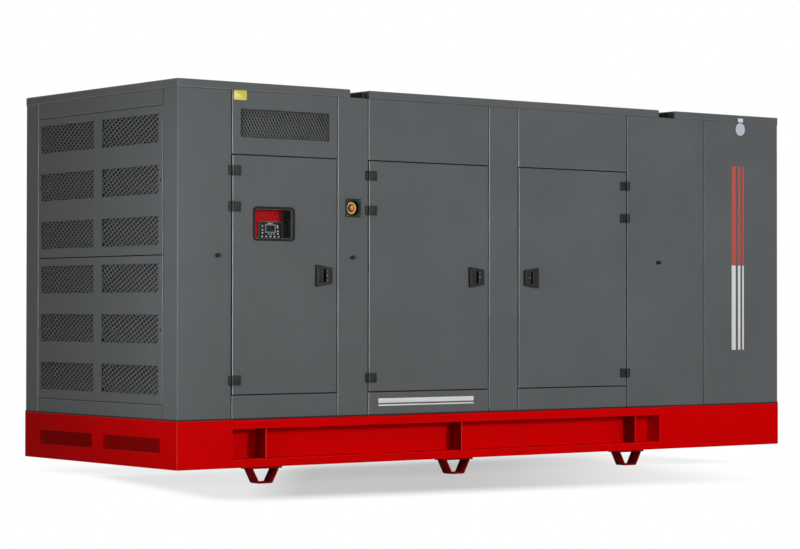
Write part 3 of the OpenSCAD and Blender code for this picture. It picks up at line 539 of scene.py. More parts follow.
def make_materials(paint):
    """Fills MATERIALS.  Grain sizes are real, except where a comment says they are drawn coarser."""
    m = MATERIALS
    # Polyester powder coat on folded steel sheet: baked, so satin with a fine orange peel. The 1 mm
    # peel is drawn at 6 mm, or it could not show.
    canopy = (paint.canopy, paint.canopy_light, 0.35, 6)
    m["canopy"] = finish("powder_coated_canopy_sheet", *canopy, 0.16, 0.50, shine=0.12)
    # Along a fold the coat runs thin over the stretched steel, and cures smoother: a glint on each bend.
    m["canopy_bend"] = finish("powder_coat_along_a_fold", *canopy, 0.02, 0.30, 0.04, shine=0.3)
    # The same powder coat where strands were slit and drawn from sheet: rougher along its cut edges.
    m["mesh"] = finish("powder_coated_expanded_mesh", "#6a6d6f", "#7a7d7f", 0.02, 2, 0.05, 0.5, shine=0.12)
    # Fine mesh drawn paler than the coarse one: painted light, for its strands' faces turn up to the light.
    m["fine_mesh"] = finish("powder_coated_fine_mesh", "#84878a", "#909396", 0.02, 2, 0.05, 0.45, shine=0.15)
    # The same coat on the baffles, drawn darker as painted shade, for they lie in the shade behind the mesh.
    m["baffle"] = finish("baffle_sheet_in_painted_shade", "#46484a", "#4e5052", 0.3, 6, 0.1, 0.6, shine=0.05)
    # Sprayed two-pack gloss enamel on welded steel: wet look, with a slow peel about 8 mm across.
    base = (paint.base, paint.base_dark, 0.5, 8)
    m["base"] = finish("red_enamelled_base_steel", *base, 0.06, 0.40, shine=0.01)
    # The enamel rounds off along an edge and catches light there.
    m["base_edge"] = finish("red_enamel_along_an_edge", *base, 0.02, 0.34, 0.04, shine=0.07)
    # Enamel on faces that look into the recess between rail and web, drawn dark as painted shade, with hardly
    # any shine.
    m["base_recess"] = finish("red_enamel_in_painted_shade", "#8c0003", "#7c0003", 0.3, 8, 0.06, 0.6,
                              shine=0.0)
    # Feet: a darker red enamel, nearly matt.
    m["feet"] = finish("darker_red_enamel_feet", "#9c0a0c", "#80080a", 0.12, 6, 0.08, 0.6, shine=0.02)
    m["vent"] = finish("red_enamelled_expanded_mesh", "#cc0606", "#bc0606", 0.02, 3, 0.05, 0.45, shine=0.02)
    # A dark red sheet behind the vents' mesh: painted shade over the recess's red back wall.
    m["vent_back"] = finish("dark_red_painted_shade_sheet", "#6a0303", "#740303", 0.05, 3, 0.05, 0.8, shine=0.0)
    # Zinc die casting with black powder coat: fine pebble, edges rubbed a little paler.
    m["hardware"] = finish("black_coated_die_casting", "#1c1d1f", "#2a2c2e", 0.03, 1.5, 0.08, 0.42,
                           shine=0.12)
    # Extruded EPDM rubber: dull, with dust lying in its skin.
    m["rubber"] = finish("extruded_rubber", "#181919", "#2a2b2b", 0.03, 1, 0.03, 0.7, shine=0.1)
    # Glass-filled nylon, moulded: dull black with a fine spark-eroded texture.
    m["plastic"] = finish("moulded_black_nylon", "#1b1c1d", "#2b2d2e", 0.03, 1, 0.05, 0.5, shine=0.12)
    # Moulded polycarbonate, polished: deep even colour under a clear gloss.
    m["mushroom"] = finish("moulded_red_polycarbonate", "#dc6a30", "#e67a3c", 0.02, 4, 0.01, 0.25, 0.04)
    m["yellow"] = finish("moulded_yellow_polycarbonate", "#e8be3c", "#f0d060", 0.03, 4, 0.01, 0.3, 0.04)
    # Stove enamel on the control cabinet: deep red, satin.
    m["cabinet"] = finish("red_enamelled_cabinet", "#dc000e", "#e60412", 0.2, 4, 0.04, 0.5, shine=0.02)
    # Sand-cast iron under engine enamel: coarse skin that holds oil in its hollows.
    m["iron"] = finish("enamelled_cast_iron", "#5c6266", "#7a8084", 0.12, 4, 0.5, 0.45)
    m["alternator"] = finish("enamelled_generator_frame", "#3c4347", "#4b5357", 0.2, 3, 0.2, 0.42)
    # Heat-stained steel of the exhaust: brown where it runs hottest.
    m["exhaust"] = finish("heat_stained_steel", "#4a3b32", "#77706a", 0.08, 2, 0.1, 0.5, metal=0.8)
    # Zinc plate on turned steel: bright, a little milky.
    m["zinc"] = finish("zinc_plated_steel", "#b9bcbe", "#d4d6d8", 0.01, 1, 0.02, 0.3, metal=1.0)
    # The same plate after years of hands and weather: grey, its shine gone.
    m["dull_zinc"] = finish("weathered_zinc_plate", "#7c7e80", "#8c8e90", 0.01, 1, 0.02, 0.5, shine=0.2)
    # Black oxide on small turned screws: dark with a dull metallic edge.
    m["dark_screw"] = finish("black_oxide_screw", "#3c3e40", "#5a5c5e", 0.01, 1, 0.02, 0.4, metal=0.9)
    # Moulded grey nylon trim: dull and even.
    m["trim"] = finish("moulded_grey_nylon", "#a2a4a6", "#b0b2b4", 0.02, 1, 0.03, 0.5, shine=0.1)
    m["matt_black"] = finish("matt_black_radiator_paint", "#1a1b1c", "#26282a", 0.1, 2, 0.05, 0.6)
    # Rolled aluminium fins, blackened by dipping: 3 mm apart, drawn at 6 mm, the near-black gaps between them
    # painted shade.
    m["fins"] = striped("black_dipped_radiator_fins", "#3a3d40", "#08090a", 6, 0.4, "Z", 0.5, 2, 0.3)
    # Open-cell foam under a black glass-fibre scrim; the 1 mm threads are drawn at 4 mm.
    m["foam"] = woven("scrim_faced_acoustic_foam", "#16181a", "#2e3134", 4, 0.9, 0.6)
    # Printed vinyl film: flat colour, smooth, with a slight sheen. The pale grey one lines the window's
    # reveal, drawn paler as painted light on the lit jamb.
    for key, colour in (("white_film", "#e6e6e4"), ("red_film", "#b8453a"), ("yellow_film", "#d9cf1c"),
                        ("silver_film", "#c3cbd6"), ("reveal_grey_painted_light", "#8d9092")):
        m[key] = finish("printed_vinyl_" + key, colour, colour, 0.1, 5, 0.01, 0.35, 0.03)
    # Hard-coated acrylic over the controller's dark screen.
    m["lcd"] = finish("liquid_crystal_panel", "#1c2622", "#24302a", 0.02, 2, 0.005, 0.25, 0.03, shine=0.05)
    m["glass"] = clear_sheet("toughened_window_glass", "#2a3134", 0.04)


# ------------------------------------------------------------------ what a user may change

def size(name, description, millimetres):
    """A length in metres, given in millimetres."""
    return bpy.props.FloatProperty(name=name, description=description, default=millimetres * MM,
                                   min=0.0, unit="LENGTH", subtype="DISTANCE", precision=4)


def colour(name, description, sheet_colour):
    """A paint colour, given as sRGB hex."""
    return bpy.props.FloatVectorProperty(name=name, description=description, size=4, subtype="COLOR",
                                         min=0.0, max=1.0, default=linear(sheet_colour))


def number(name, description, value, **limits):
    """A plain number."""
    return bpy.props.FloatProperty(name=name, description=description, default=value, **limits)


def count(name, description, value, least, most):
    """A whole number between two limits."""
    return bpy.props.IntProperty(name=name, description=description, default=value, min=least, max=most)


class GensetPaint(bpy.types.PropertyGroup):
    """Paint colours."""
    canopy: colour("Canopy", "Powder coat of the canopy", "#5a5d5f")
    canopy_light: colour("Canopy light", "Lighter tone that the canopy's coat drifts to", "#626567")
    base: colour("Base", "Enamel of the base frame", "#e40003")
    base_dark: colour("Base dark", "Darker tone that the base's enamel drifts to", "#d60003")


class GensetSheet(bpy.types.PropertyGroup):
    """Sizes of folded sheet and expanded mesh."""
    bend: size("Bend", "Outer radius of a folded edge", 6)
    base_bend: size("Base bend", "Rounded edge of the base's steel", 3)
    window_w: size("Inlet width", "Width of an air inlet in the ends", 600)
    window_h: size("Inlet height", "Height of an air inlet in the ends", 157)
    window_first: size("First inlet", "From a panel's top to its first inlet", 43)
    window_pitch: size("Inlet pitch", "From one row of inlets to the next", 279)
    window_gap: size("Inlet gap", "Between the two inlets of a row", 90)
    end_cell_w: size("End cell width", "Width of a diamond in the ends' mesh", 43.5)
    end_cell_h: size("End cell height", "Height of a diamond in the ends' mesh", 31)
    header_cell_w: size("Header cell width", "Width of a diamond in the header's mesh", 19.6)
    header_cell_h: size("Header cell height", "Height of a diamond in the header's mesh", 33.8)
    vent_cell: size("Vent cell", "Width of a diamond in the base's vents", 16)
    strand: size("Strand", "Width of a strand of fine mesh", 4)
    strand_t: size("Strand thickness", "Thickness of a strand of fine mesh", 1.6)
    end_strand: size("End strand", "Width of a strand of the ends' mesh", 5.5)
    end_strand_t: size("End strand thickness", "Thickness of a strand of the ends' mesh", 2.4)
    overlap: size("Mesh overlap", "How far mesh runs behind its panel", 7)
    tilt: number("Strand tilt", "Turn of a strand about its length, in degrees", 54.0, min=0.0, max=60.0)


class GensetFittings(bpy.types.PropertyGroup):
    """Sizes of hinges, latches and other fittings."""
    knuckle_r: size("Knuckle", "Radius of a hinge knuckle", 9)
    knuckle_play: size("Knuckle play", "Gap between two knuckles", 1)
    leaf_start: size("Leaf start", "From the hinge axis to a leaf", 10.5)
    leaf_t: size("Leaf thickness", "Thickness of a hinge leaf", 8)
    latch_rim: size("Latch rim", "Wall beside the latch's cut-out", 5)
    latch_cut_w: size("Latch cut width", "Width of the latch's cut-out", 60)
    latch_cut_h: size("Latch cut height", "Height of the latch's cut-out", 76)
    latch_narrow: size("Latch narrow side", "Height of the latch at its narrow side", 90)
    recess: size("Finger recess", "Depth of the finger recess behind the door's face", 18)
    cup_r: size("Stop cup", "Radius of the stop button's cup", 43)
    cup_d: size("Stop cup depth", "Depth of the stop button's cup", 24)
    bezel: size("Stop bezel", "Proud height of the stop button's bezel", 6)


class GensetStage(bpy.types.PropertyGroup):
    """Camera and light."""
    place: bpy.props.FloatVectorProperty(name="Camera", description="Place of the camera",
                                         subtype="TRANSLATION", default=(-9.5726, -12.2917, 0.9627))
    heading: number("Heading", "Turn of the camera about Z", -0.6539, subtype="ANGLE")
    rise: number("Rise", "Tilt of the camera above the horizon", 0.0138, subtype="ANGLE")
    roll: number("Roll", "Turn of the camera about its own view", -0.0011, subtype="ANGLE")
    lens: number("Lens", "Focal length in millimetres on a 36 mm wide sensor", 113.03, min=10.0)
    sky: number("Sky", "Strength of the even light from all round", 0.40, min=0.0)
    key: number("Key", "Power of the key lamp in watts", 222.0, min=0.0)
    side: number("Side", "Power of the side lamp in watts", 17.0, min=0.0)
    gleam: number("Gleam", "Power in watts of the lamp seen only in glossy edges", 1000.0, min=0.0)


# ------------------------------------------------------------------ operators, one for each group of pieces

# Share of the full bend that each sheet's folds get: posts and roof fold in full, the thinner sheets
# between the posts tighter, and the ends' cut plates are only eased.
FULL, TIGHT, EASED = 1.0, 0.6, 0.25
CANOPY_FOLDS = {
    "front_left_corner": FULL, "grille_header": TIGHT, "plain_headers": TIGHT, "front_sills": TIGHT,
    "stop_button_pillar": TIGHT, "plain_pillar": TIGHT, "front_right_panel": TIGHT,
    "front_right_corner": FULL, "back_corners": FULL, "back_wall": FULL, "back_doors": FULL,
    "end_rails": FULL, "left_upper_panel": EASED, "left_lower_panel": EASED, "right_end_panels": EASED,
    "roof_left_cap": FULL, "roof_middle_cap": FULL, "roof_right_cap": FULL,
}


class GensetOperator:
    """What every step shares: each is undone as one, and each counts as finished when it has run."""
    bl_options = {"REGISTER", "UNDO"}

    def execute(self, context):
        self.build(context.scene)
        return {"FINISHED"}


class GENSET_OT_materials(GensetOperator, bpy.types.Operator):
    """Make every material."""
    bl_idname = "genset.materials"
    bl_label = "Materials"

    def build(self, scene):
        make_materials(scene.genset_paint)


class GENSET_OT_canopy(GensetOperator, bpy.types.Operator):
    """Fold the canopy's walls, ends, roof and doors from sheet, lined with foam."""
    bl_idname = "genset.canopy"
    bl_label = "Canopy sheets"

    def build(self, scene):
        skins = ("canopy", "foam", "canopy_bend")
        bend = scene.genset_sheet.bend
        for node, share in CANOPY_FOLDS.items():
            folded(node, share * bend, skins)
        for door in DOORS:
            folded(f"door_{door}", TIGHT * bend, skins, f"door_{door}_leaf")


class GENSET_OT_base(GensetOperator, bpy.types.Operator):
    """Round the base frame's steel and bend its feet from strip."""
    bl_idname = "genset.base"
    bl_label = "Base frame and feet"

    seal_h: size("Seal", "Height of the tape between canopy and base", 8)

    def build(self, scene):
        for node in ("base_end_boxes", "base_tank", "base_side_rails", "base_gussets"):
            inner = "base_recess" if node == "base_gussets" else "base"
            made = folded(node, scene.genset_sheet.base_bend, ("base", inner, "base_edge"))
            # A gusset's two broad faces look along the set and lie in shade, so they take the dark red:
            # painted shade.
            for face in made.data.polygons:
                if face.material_index == 0 and abs(face.normal.x) > 0.9:
                    face.material_index = 1
        plate_t, strip_t = 10 * MM, 9 * MM
        shapes = []
        for low, high in solids("feet"):
            span = high - low
            side = plane(((low[0] + high[0]) / 2, high[1], low[2]), (1, 0, 0), (0, 0, 1))
            strip = bent_strip(half_top=91 * MM, half_sole=44 * MM, height=span[2] - plate_t,
                               thickness=strip_t, radius=9 * MM)
            shapes += on(side, pad(strip, 0.0, span[1], 1 * MM, both=True))
            shapes.append(block((low[0], low[1], high[2] - plate_t), high, 2 * MM))
        piece("feet_bent_strip", shapes, "feet", stands_for=["feet"])
        # Compressed foam tape between the canopy and the base shows as a dark line all round.
        width, depth_y = 2 * abs(END_X), 2 * abs(FACE_Y)
        outer = rectangle(width + 3 * MM, depth_y + 3 * MM, 2 * MM)
        inner = rectangle(width - 8 * MM, depth_y - 8 * MM, 1 * MM)
        piece("canopy_base_seal", [collar(outer, inner, DECK_Z, DECK_Z + self.seal_h)], "rubber")


def bent_strip(half_top, half_sole, height, thickness, radius):
    """Outline of a strip bent to a sole and two sloping legs.

    The middle line has its two lower corners rounded, and the outline runs half a thickness to
    either side of it, down one side and back up the other.
    """
    t, steps = thickness / 2, 7
    corners = [(-half_top + t, height), (-half_sole, t), (half_sole, t), (half_top - t, height)]
    line = rounded(corners, radius, steps).reshape(4, steps, 2)[1:3].reshape(-1, 2)
    line = np.vstack([(-half_top + 1.1 * t, height), line, (half_top - 1.1 * t, height)])
    along = np.gradient(line, axis=0)
    along /= np.linalg.norm(along, axis=1, keepdims=True)
    side = t * np.stack([along[:, 1], -along[:, 0]], -1)
    return np.vstack([line + side, (line - side)[::-1]])


def end_panels(side):
    """Boxes of the panels with inlets in one end, -1 for the left."""
    nodes = ("left_upper_panel", "left_lower_panel") if side < 0 else ("right_end_panels",)
    return [box for node in nodes for box in solids(node)]


class GENSET_OT_mesh(GensetOperator, bpy.types.Operator):
    """Draw the expanded mesh of every air inlet strand by strand."""
    bl_idname = "genset.mesh"
    bl_label = "Expanded mesh"

    def build(self, scene):
        s = scene.genset_sheet
        width, height = s.window_w + 2 * s.overlap, s.window_h + 2 * s.overlap
        # The sheets were hung a little askew, the column nearer the front more so.
        sheets = [diamonds(width, height, s.end_cell_w, s.end_cell_h, s.end_strand, s.end_strand_t, 0.0, turn)
                  for turn in (-9.0, -4.0)]
        across = (s.window_gap + s.window_w) / 2
        for name, side in (("left", -1), ("right", 1)):
            sheet = name + "_window_mesh"
            middle, _ = middle_span(sheet)
            shapes = []
            for _, panel_high in end_panels(side):
                first = panel_high[2] - s.window_first - s.window_h / 2
                for row in range(3):
                    for column, net in zip((-across, across), sheets):
                        place = (middle[0], middle[1] + column, first - row * s.window_pitch)
                        shapes += on(plane(place, (0, side, 0), (0, 0, 1)), net)
            piece(name + "_end_mesh", shapes, "mesh", stands_for=[sheet], angle=0, merge=False)
        middle, span = middle_span("header_mesh")
        header = diamonds(span[0], span[2], s.header_cell_w, s.header_cell_h,
                          0.9 * s.strand, 0.5 * s.strand_t, -s.tilt)
        piece("header_expanded_mesh", on(front(middle[0], middle[2], middle[1]), header), "fine_mesh",
              stands_for=["header_mesh"], angle=0, merge=False)
        # Foam on the hood's leaning sheet, seen through the mesh: a wedge drawn in depth and height.
        low, high = next(box for box in solids("inlet_baffles") if box[0][1] < FACE_Y + 50 * MM)
        wedge = rounded([(low[1] - 0.3 * MM, low[2] + 1 * MM), (high[1] - 3.4 * MM, high[2] - 1 * MM),
                         (high[1] - 11.4 * MM, high[2] - 1 * MM), (low[1] - 0.9 * MM, low[2] + 3 * MM)],
                        0.3 * MM, 3)
        foam = pad(wedge, 4 * MM, high[0] - low[0] - 4 * MM)
        piece("header_hood_foam", on(along_x(low[0], 0, 0), foam), "foam", angle=50)
        shapes, backs = [], []
        for low, high in solids("base_vent_mesh"):
            middle, span = (low + high) / 2, high - low
            face = plane(middle, (0, math.copysign(1, middle[0]), 0), (0, 0, 1))
            shapes += on(face, diamonds(span[1], span[2], 1.8 * s.vent_cell, s.vent_cell, s.strand,
                                        0.7 * s.strand_t, 0.0))
            backs += on(face, pad(rectangle(span[1], span[2], 1 * MM), -24.4 * MM, -23.8 * MM))
        piece("base_vent_expanded_mesh", shapes, "vent", stands_for=["base_vent_mesh"], angle=0, merge=False)
        # The dark sheet behind each vent's mesh is painted shade over the recess's red back wall.
        piece("base_vent_painted_shade", backs, "vent_back")
        # The baffles take the darker coat: painted shade behind the mesh.
        dress("inlet_baffles", "baffle")


def dress(node, material):
    """Gives a CAD node that keeps its shape its material."""
    slots = frame["nodes"][node].data.materials
    slots.clear()
    slots.append(MATERIALS[material])


class GENSET_OT_linings(GensetOperator, bpy.types.Operator):
    """Pad the doors' backs with foam held by washers, and seal their openings."""
    bl_idname = "genset.linings"
    bl_label = "Door linings and seals"

    pan_t: size("Pan", "Thickness of a door's folded pan", 25)
    inset: size("Inset", "From a door's edge to its foam", 29)
    foam_t: size("Foam", "Thickness of the foam", 31.5)
    washer_r: size("Washer", "Radius of a washer that holds the foam", 17)

    def build(self, scene):
        washer = lathe([(0, 2.2 * MM), (6 * MM, 1.8 * MM), (self.washer_r - 2 * MM, 1.2 * MM),
                        (self.washer_r, 0), (0, -0.5 * MM)], 20)
        for door in DOORS:
            middle, span = middle_span(f"door_{door}")
            body = f"door_{door}_leaf"
            width, height = span[0] - 2 * self.inset, span[2] - 2 * self.inset
            back = plane((middle[0], FACE_Y + self.pan_t, middle[2]), (-1, 0, 0), (0, 0, 1))
            outline = rectangle(width, height, 12 * MM)
            columns, rows = np.linspace(-0.36, 0.36, 3) * width, np.linspace(-0.42, 0.42, 5) * height
            places = np.stack(np.meshgrid(columns, rows), -1).reshape(-1, 2)
            foam = pad(outline, 0.0, self.foam_t, 10 * MM)
            if door == 1:
                # The foam leaves the window free, and so do its washers.
                glass, light = middle_span("window_gasket")
                hole = rectangle(light[0] + 66 * MM, light[2] + 66 * MM, 10 * MM)
                hole += (middle[0] - glass[0], glass[2] - middle[2])
                foam = collar(outline, hole, 0.0, self.foam_t, 8 * MM)
                clear = np.abs(places - hole.mean(0)) > np.ptp(hole, axis=0) / 2 + self.washer_r
                places = places[clear.any(1)]
            piece(f"door_{door}_foam", on(back, foam), "foam", body, angle=50)
            held = repeated(washer, np.column_stack([places, np.full(len(places), self.foam_t)]))
            piece(f"door_{door}_washers", on(back, held), "zinc", body)
        seals = []
        for low, high in solids("door_frames"):
            middle = (low + high) / 2
            outline = rectangle(high[0] - low[0] - 28 * MM, high[2] - low[2] - 28 * MM, 12 * MM)
            path = np.column_stack([outline[:, 0] + middle[0], np.full(len(outline), low[1] - 2.3 * MM),
                                    outline[:, 1] + middle[2]])
            seals.append(tube(np.vstack([path, path[:1]]), 2.6 * MM, 8))
        piece("door_seals", seals, "rubber")
        dress("door_frames", "hardware")


class GENSET_OT_hinges(GensetOperator, bpy.types.Operator):
    """Build each hinge: a moving leaf and knuckle, and the fixed knuckles, pin and leaf."""
    bl_idname = "genset.hinges"
    bl_label = "Hinges"

    def build(self, scene):
        f = scene.genset_fittings
        joints = {joint["name"]: joint for joint in frame["joints"]}
        posts = solids("post_hinge_leaves")
        leaf_y, root_y = FACE_Y - f.leaf_t, FACE_Y - 2 * MM
        fixed = []
        for door in DOORS:
            axis_x, axis_y = joints[f"door_{door}_hinge"]["pos_m"][:2]
            moving = []
            for low, high in solids(f"door_{door}_hinge_leaves"):
                side = 1 if high[0] - axis_x > axis_x - low[0] else -1
                far = high[0] if side > 0 else low[0]
                h = high[2] - low[2]
                third = (h - 2 * f.knuckle_play) / 3
                start = third + f.knuckle_play
                pin = plane((axis_x, axis_y, low[2]), (1, 0, 0), (0, 1, 0))
                # The leaf on the door, its root at the middle knuckle, and that knuckle.
                root, leaf, reach = side * f.knuckle_r / 2, side * f.leaf_start, side * 3 * MM
                moving.append(sorted_block((axis_x + leaf, leaf_y, low[2]), (far, FACE_Y, high[2]), 2 * MM))
                moving.append(sorted_block((axis_x + root, leaf_y, low[2] + start),
                                           (axis_x + leaf + reach, root_y, low[2] + start + third), 1 * MM))
                moving += on(pin, knuckle(f.knuckle_r, start, start + third))
                # On the post the outer knuckles, the pin, the leaf and its two roots.
                fixed += on(pin, knuckle(f.knuckle_r, 0.0, third), knuckle(f.knuckle_r, h - third, h),
                            lathe([(0, -1.5 * MM), (3 * MM, -1.5 * MM), (4 * MM, 0), (4 * MM, h),
                                   (3 * MM, h + 1.5 * MM), (0, h + 1.5 * MM)], 16))
                post_low, post_high = next(box for box in posts if abs(box[0][2] - low[2]) < MM
                                           and box[0][0] < axis_x < box[1][0])
                outer = post_low[0] if side > 0 else post_high[0]
                fixed.append(sorted_block((axis_x - leaf, leaf_y, low[2]), (outer, FACE_Y, high[2]), 2 * MM))
                for z in (low[2], high[2] - third):
                    fixed.append(sorted_block((axis_x - root, leaf_y, z),
                                              (axis_x - leaf - reach, root_y, z + third), 1 * MM))
            piece(f"door_{door}_hinges_moving", moving, "hardware", f"door_{door}_leaf",
                  [f"door_{door}_hinge_leaves"])
        piece("hinges_fixed", fixed, "hardware", stands_for=["post_hinge_leaves"])


def sorted_block(one, other, rim):
    """Rounded block between two corners given in any order."""
    return block(np.minimum(one, other), np.maximum(one, other), rim)


def knuckle(radius, low, high):
    """Turned knuckle with both rims eased."""
    ease = 0.8 * MM
    return lathe([(0, low), (radius - ease, low), (radius, low + ease), (radius, high - ease),
                  (radius - ease, high), (0, high)], 20)


class GENSET_OT_latches(GensetOperator, bpy.types.Operator):
    """Build each latch: a wedge-shaped housing with a dark tray, lock and screws, and its paddle."""
    bl_idname = "genset.latches"
    bl_label = "Latches"

    def build(self, scene):
        f = scene.genset_fittings
        for door in DOORS:
            low, high = low_high(f"door_{door}_latch")
            side = -1 if door == 3 else 1
            length, wide, thick = high[0] - low[0], (high[2] - low[2]) / 2, FACE_Y - low[1]
            face = front(low[0] if side > 0 else high[0], (low[2] + high[2]) / 2, side=side)
            body = f"door_{door}_leaf"
            half, tray = f.latch_narrow / 2, -f.recess
            outer = rounded([(0, -wide), (length, -half), (length, half), (0, wide)], 7 * MM)
            cut = rectangle(f.latch_cut_w, f.latch_cut_h, 4 * MM) + (f.latch_rim + f.latch_cut_w / 2, 0)
            shapes = [
                collar(outer, cut, 0.0, thick, 2 * MM),
                collar(cut, shrunk(cut, 1.5 * MM), tray + 1 * MM, thick - 3 * MM),
                pad(cut, tray + 0.2 * MM, tray + 1.5 * MM),
                block((length - 12 * MM, 12 * MM - half, thick - 1 * MM),
                      (length - 8 * MM, half - 12 * MM, thick + 1 * MM), 0.9 * MM),
            ]
            piece(f"door_{door}_latch_housing", on(face, *shapes), "hardware", body, [f"door_{door}_latch"])
            # Two screws and the lock stand in a row beyond the cut-out, and the pin crosses it.
            row = f.latch_rim + f.latch_cut_w + 6 * MM
            screw = lathe(mm((0, 1.2), (1.6, 1.2), (1.8, 2), (3.4, 1.4), (3.8, 0), (0, -1)), 16)
            lock = lathe(mm((0, 0.8), (1, 0.8), (1, 2), (3.6, 2.2), (4.4, 1.5), (4.4, 0), (0, -1)), 20)
            pin_x, pin_out, pin_half = 12 * MM, 9 * MM, f.latch_cut_h / 2 + 1 * MM
            dark = [
                repeated(screw, [(row, z, thick) for z in (-27 * MM, 27 * MM)]),
                tube([(pin_x, -pin_half, pin_out), (pin_x, pin_half, pin_out)], 2.5 * MM),
            ]
            piece(f"door_{door}_latch_screws", on(face, *dark), "dark_screw", body)
            piece(f"door_{door}_latch_lock", on(face, repeated(lock, [(row, 0.0, thick)])), "dull_zinc", body)
            # The paddle: a plate with two ridges and a lip, and the barrel that turns on the pin.
            grip = middle_span(f"door_{door}_paddle")[1][2] / 2
            plate = rounded([(8 * MM, -grip), (48 * MM, -grip), (48 * MM, grip), (8 * MM, grip)], 3 * MM)
            paddle = [pad(plate, 8 * MM, 13 * MM, 1.2 * MM, both=True),
                      tube([(pin_x, -grip, pin_out), (pin_x, grip, pin_out)], 6 * MM, 20),
                      block((44 * MM, 4 * MM - grip, 6 * MM), (48 * MM, grip - 4 * MM, 12 * MM), 1.2 * MM)]
            paddle += [block((a * MM, 3 * MM - grip, 11 * MM), (b * MM, grip - 3 * MM, 16.5 * MM), 1.5 * MM)
                       for a, b in ((12, 22), (33, 45))]
            piece(f"door_{door}_paddle_grip", on(face, *paddle), "hardware", f"door_{door}_handle",
                  [f"door_{door}_paddle"])


class GENSET_OT_window(GensetOperator, bpy.types.Operator):
    """Glaze the window in door 1 and build the controller and its cabinet behind it."""
    bl_idname = "genset.window"
    bl_label = "Window and controls"

    def build(self, scene):
        self.glazing()
        self.controller()
        self.cabinet()

    def glazing(self):
        """Gasket with a lip in front and behind, a pale reveal in front of the pane drawn paler as painted
        light on the lit jamb, and the pane.
        """
        middle, span = middle_span("window_gasket")
        proud = FACE_Y - low_high("window_gasket")[0][1]
        clear = middle_span("window_pane")[1]
        face = front(middle[0], middle[2])
        light = rectangle(clear[0], clear[2], 11 * MM)
        inside = shrunk(light, 1.5 * MM)
        lip, seat, back = (rectangle(span[0] + wider * MM, span[2] + wider * MM, radius * MM)
                           for wider, radius in ((0, 25), (-12, 19), (16, 28)))
        shapes = [collar(lip, light, -0.5 * MM, proud, 1.8 * MM),
                  collar(seat, light, -25 * MM, 0.5 * MM),
                  collar(back, light, -29 * MM, -25 * MM, 1 * MM),
                  collar(light, inside, -29 * MM, -13 * MM)]
        piece("window_gasket_rubber", on(face, *shapes), "rubber", "door_1_leaf", ["window_gasket"])
        # The pale grey reveal is the jamb's paint, drawn paler as painted light where the jamb is lit.
        reveal = collar(light, inside, -13 * MM, -4.5 * MM)
        piece("window_reveal", on(face, reveal), "reveal_grey_painted_light", "door_1_leaf")
        dress("window_pane", "glass")

    def controller(self):
        """Case with a pale trim round its face and its screen, and its keys."""
        middle, span = middle_span("controller")
        face = front(middle[0], middle[2], middle[1] + span[1] / 2)
        out = span[1]
        case, rim, rim_hole = (rectangle(span[0] - less * MM, span[2] - less * MM, radius * MM)
                               for less, radius in ((0, 7), (4, 6), (8, 5)))
        piece("controller_case", on(face, pad(case, 0.0, out - 2 * MM, 3 * MM)), "plastic",
              stands_for=["controller"])
        screen = (0.0, 21 * MM)
        frames = [(rim, rim_hole), (rectangle(*mm(70, 48, 4)) + screen, rectangle(*mm(58, 36, 2)) + screen)]
        trim = [collar(outer, hole, out - 3 * MM, out, 0.6 * MM) for outer, hole in frames]
        piece("controller_trim", on(face, *trim), "trim")
        # Each key's outline as width, height and corner radius, then how high it stands and its rim.
        key, small, bar = (pad(rectangle(*mm(*outline), 3), 0.0, height * MM, rim_r * MM)
                           for outline, height, rim_r in (((10, 9, 2), 1.8, 0.6), ((7, 6, 1), 1.5, 0.4),
                                                          ((34, 5, 1), 0.8, 0.2)))
        beside = [(-54, 34), (-54, 13), (-54, -4), (47, 36), (49, 27), (50, 6), (51, -8)]
        below = [(u, -24) for u in (-56, -28, 0, 28, 56)]
        keys = [repeated(shape, [(u * MM, w * MM, out - 2.5 * MM) for u, w in at])
                for shape, at in ((key, beside + below), (small, [(-10, -10), (7, -10), (26, -10)]),
                                  (bar, [(-2, 50)]))]
        piece("controller_keys", on(face, *keys), "white_film")
        panel = pad(rectangle(*mm(60, 38, 2)) + screen, out - 3 * MM, out - 1.5 * MM)
        piece("controller_screen", on(face, panel), "lcd")

    def cabinet(self):
        """Cabinet with its door, a wing handle, two hinges and the cable glands below."""
        folded("control_cabinet", 3 * MM, ("cabinet",))
        low, high = low_high("control_cabinet")
        middle, width, door_h = (low + high) / 2, high[0] - low[0], 700 * MM
        face = front(middle[0], high[2] - 30 * MM - door_h / 2, low[1])
        door = pad(rectangle(width - 24 * MM, door_h, 8 * MM), -1 * MM, 5 * MM, 2 * MM)
        piece("cabinet_door", on(face, door), "cabinet")
        turn = lathe(mm((0, 9), (4, 9), (10, 7), (12, 5), (12, 0), (0, 0)), 20)
        wing = block(mm(-3, -14, 7), mm(3, 14, 13), 1.5 * MM)
        handle = [repeated(shape, [(width / 2 - 32 * MM, -0.05, 4 * MM)]) for shape in (turn, wing)]
        verts, faces = lathe(mm((0, -28), (5, -28), (5, 28), (0, 28)), 12)
        upright = (verts[:, [0, 2, 1]], faces)
        handle.append(repeated(upright, [(8 * MM - width / 2, z, 5 * MM) for z in (-0.28, 0.28)]))
        gland = lathe(mm((0, 0), (16, 0), (16, -14), (12, -16), (12, -34), (0, -34)), 12)
        box_bottom = low_high("controller")[0][2] - 460 * MM
        glands = repeated(gland, [(low[0] + x * MM, middle[1], box_bottom) for x in (90, 150, 210, 270)])
        piece("cabinet_fittings", on(face, *handle) + [glands], "hardware")


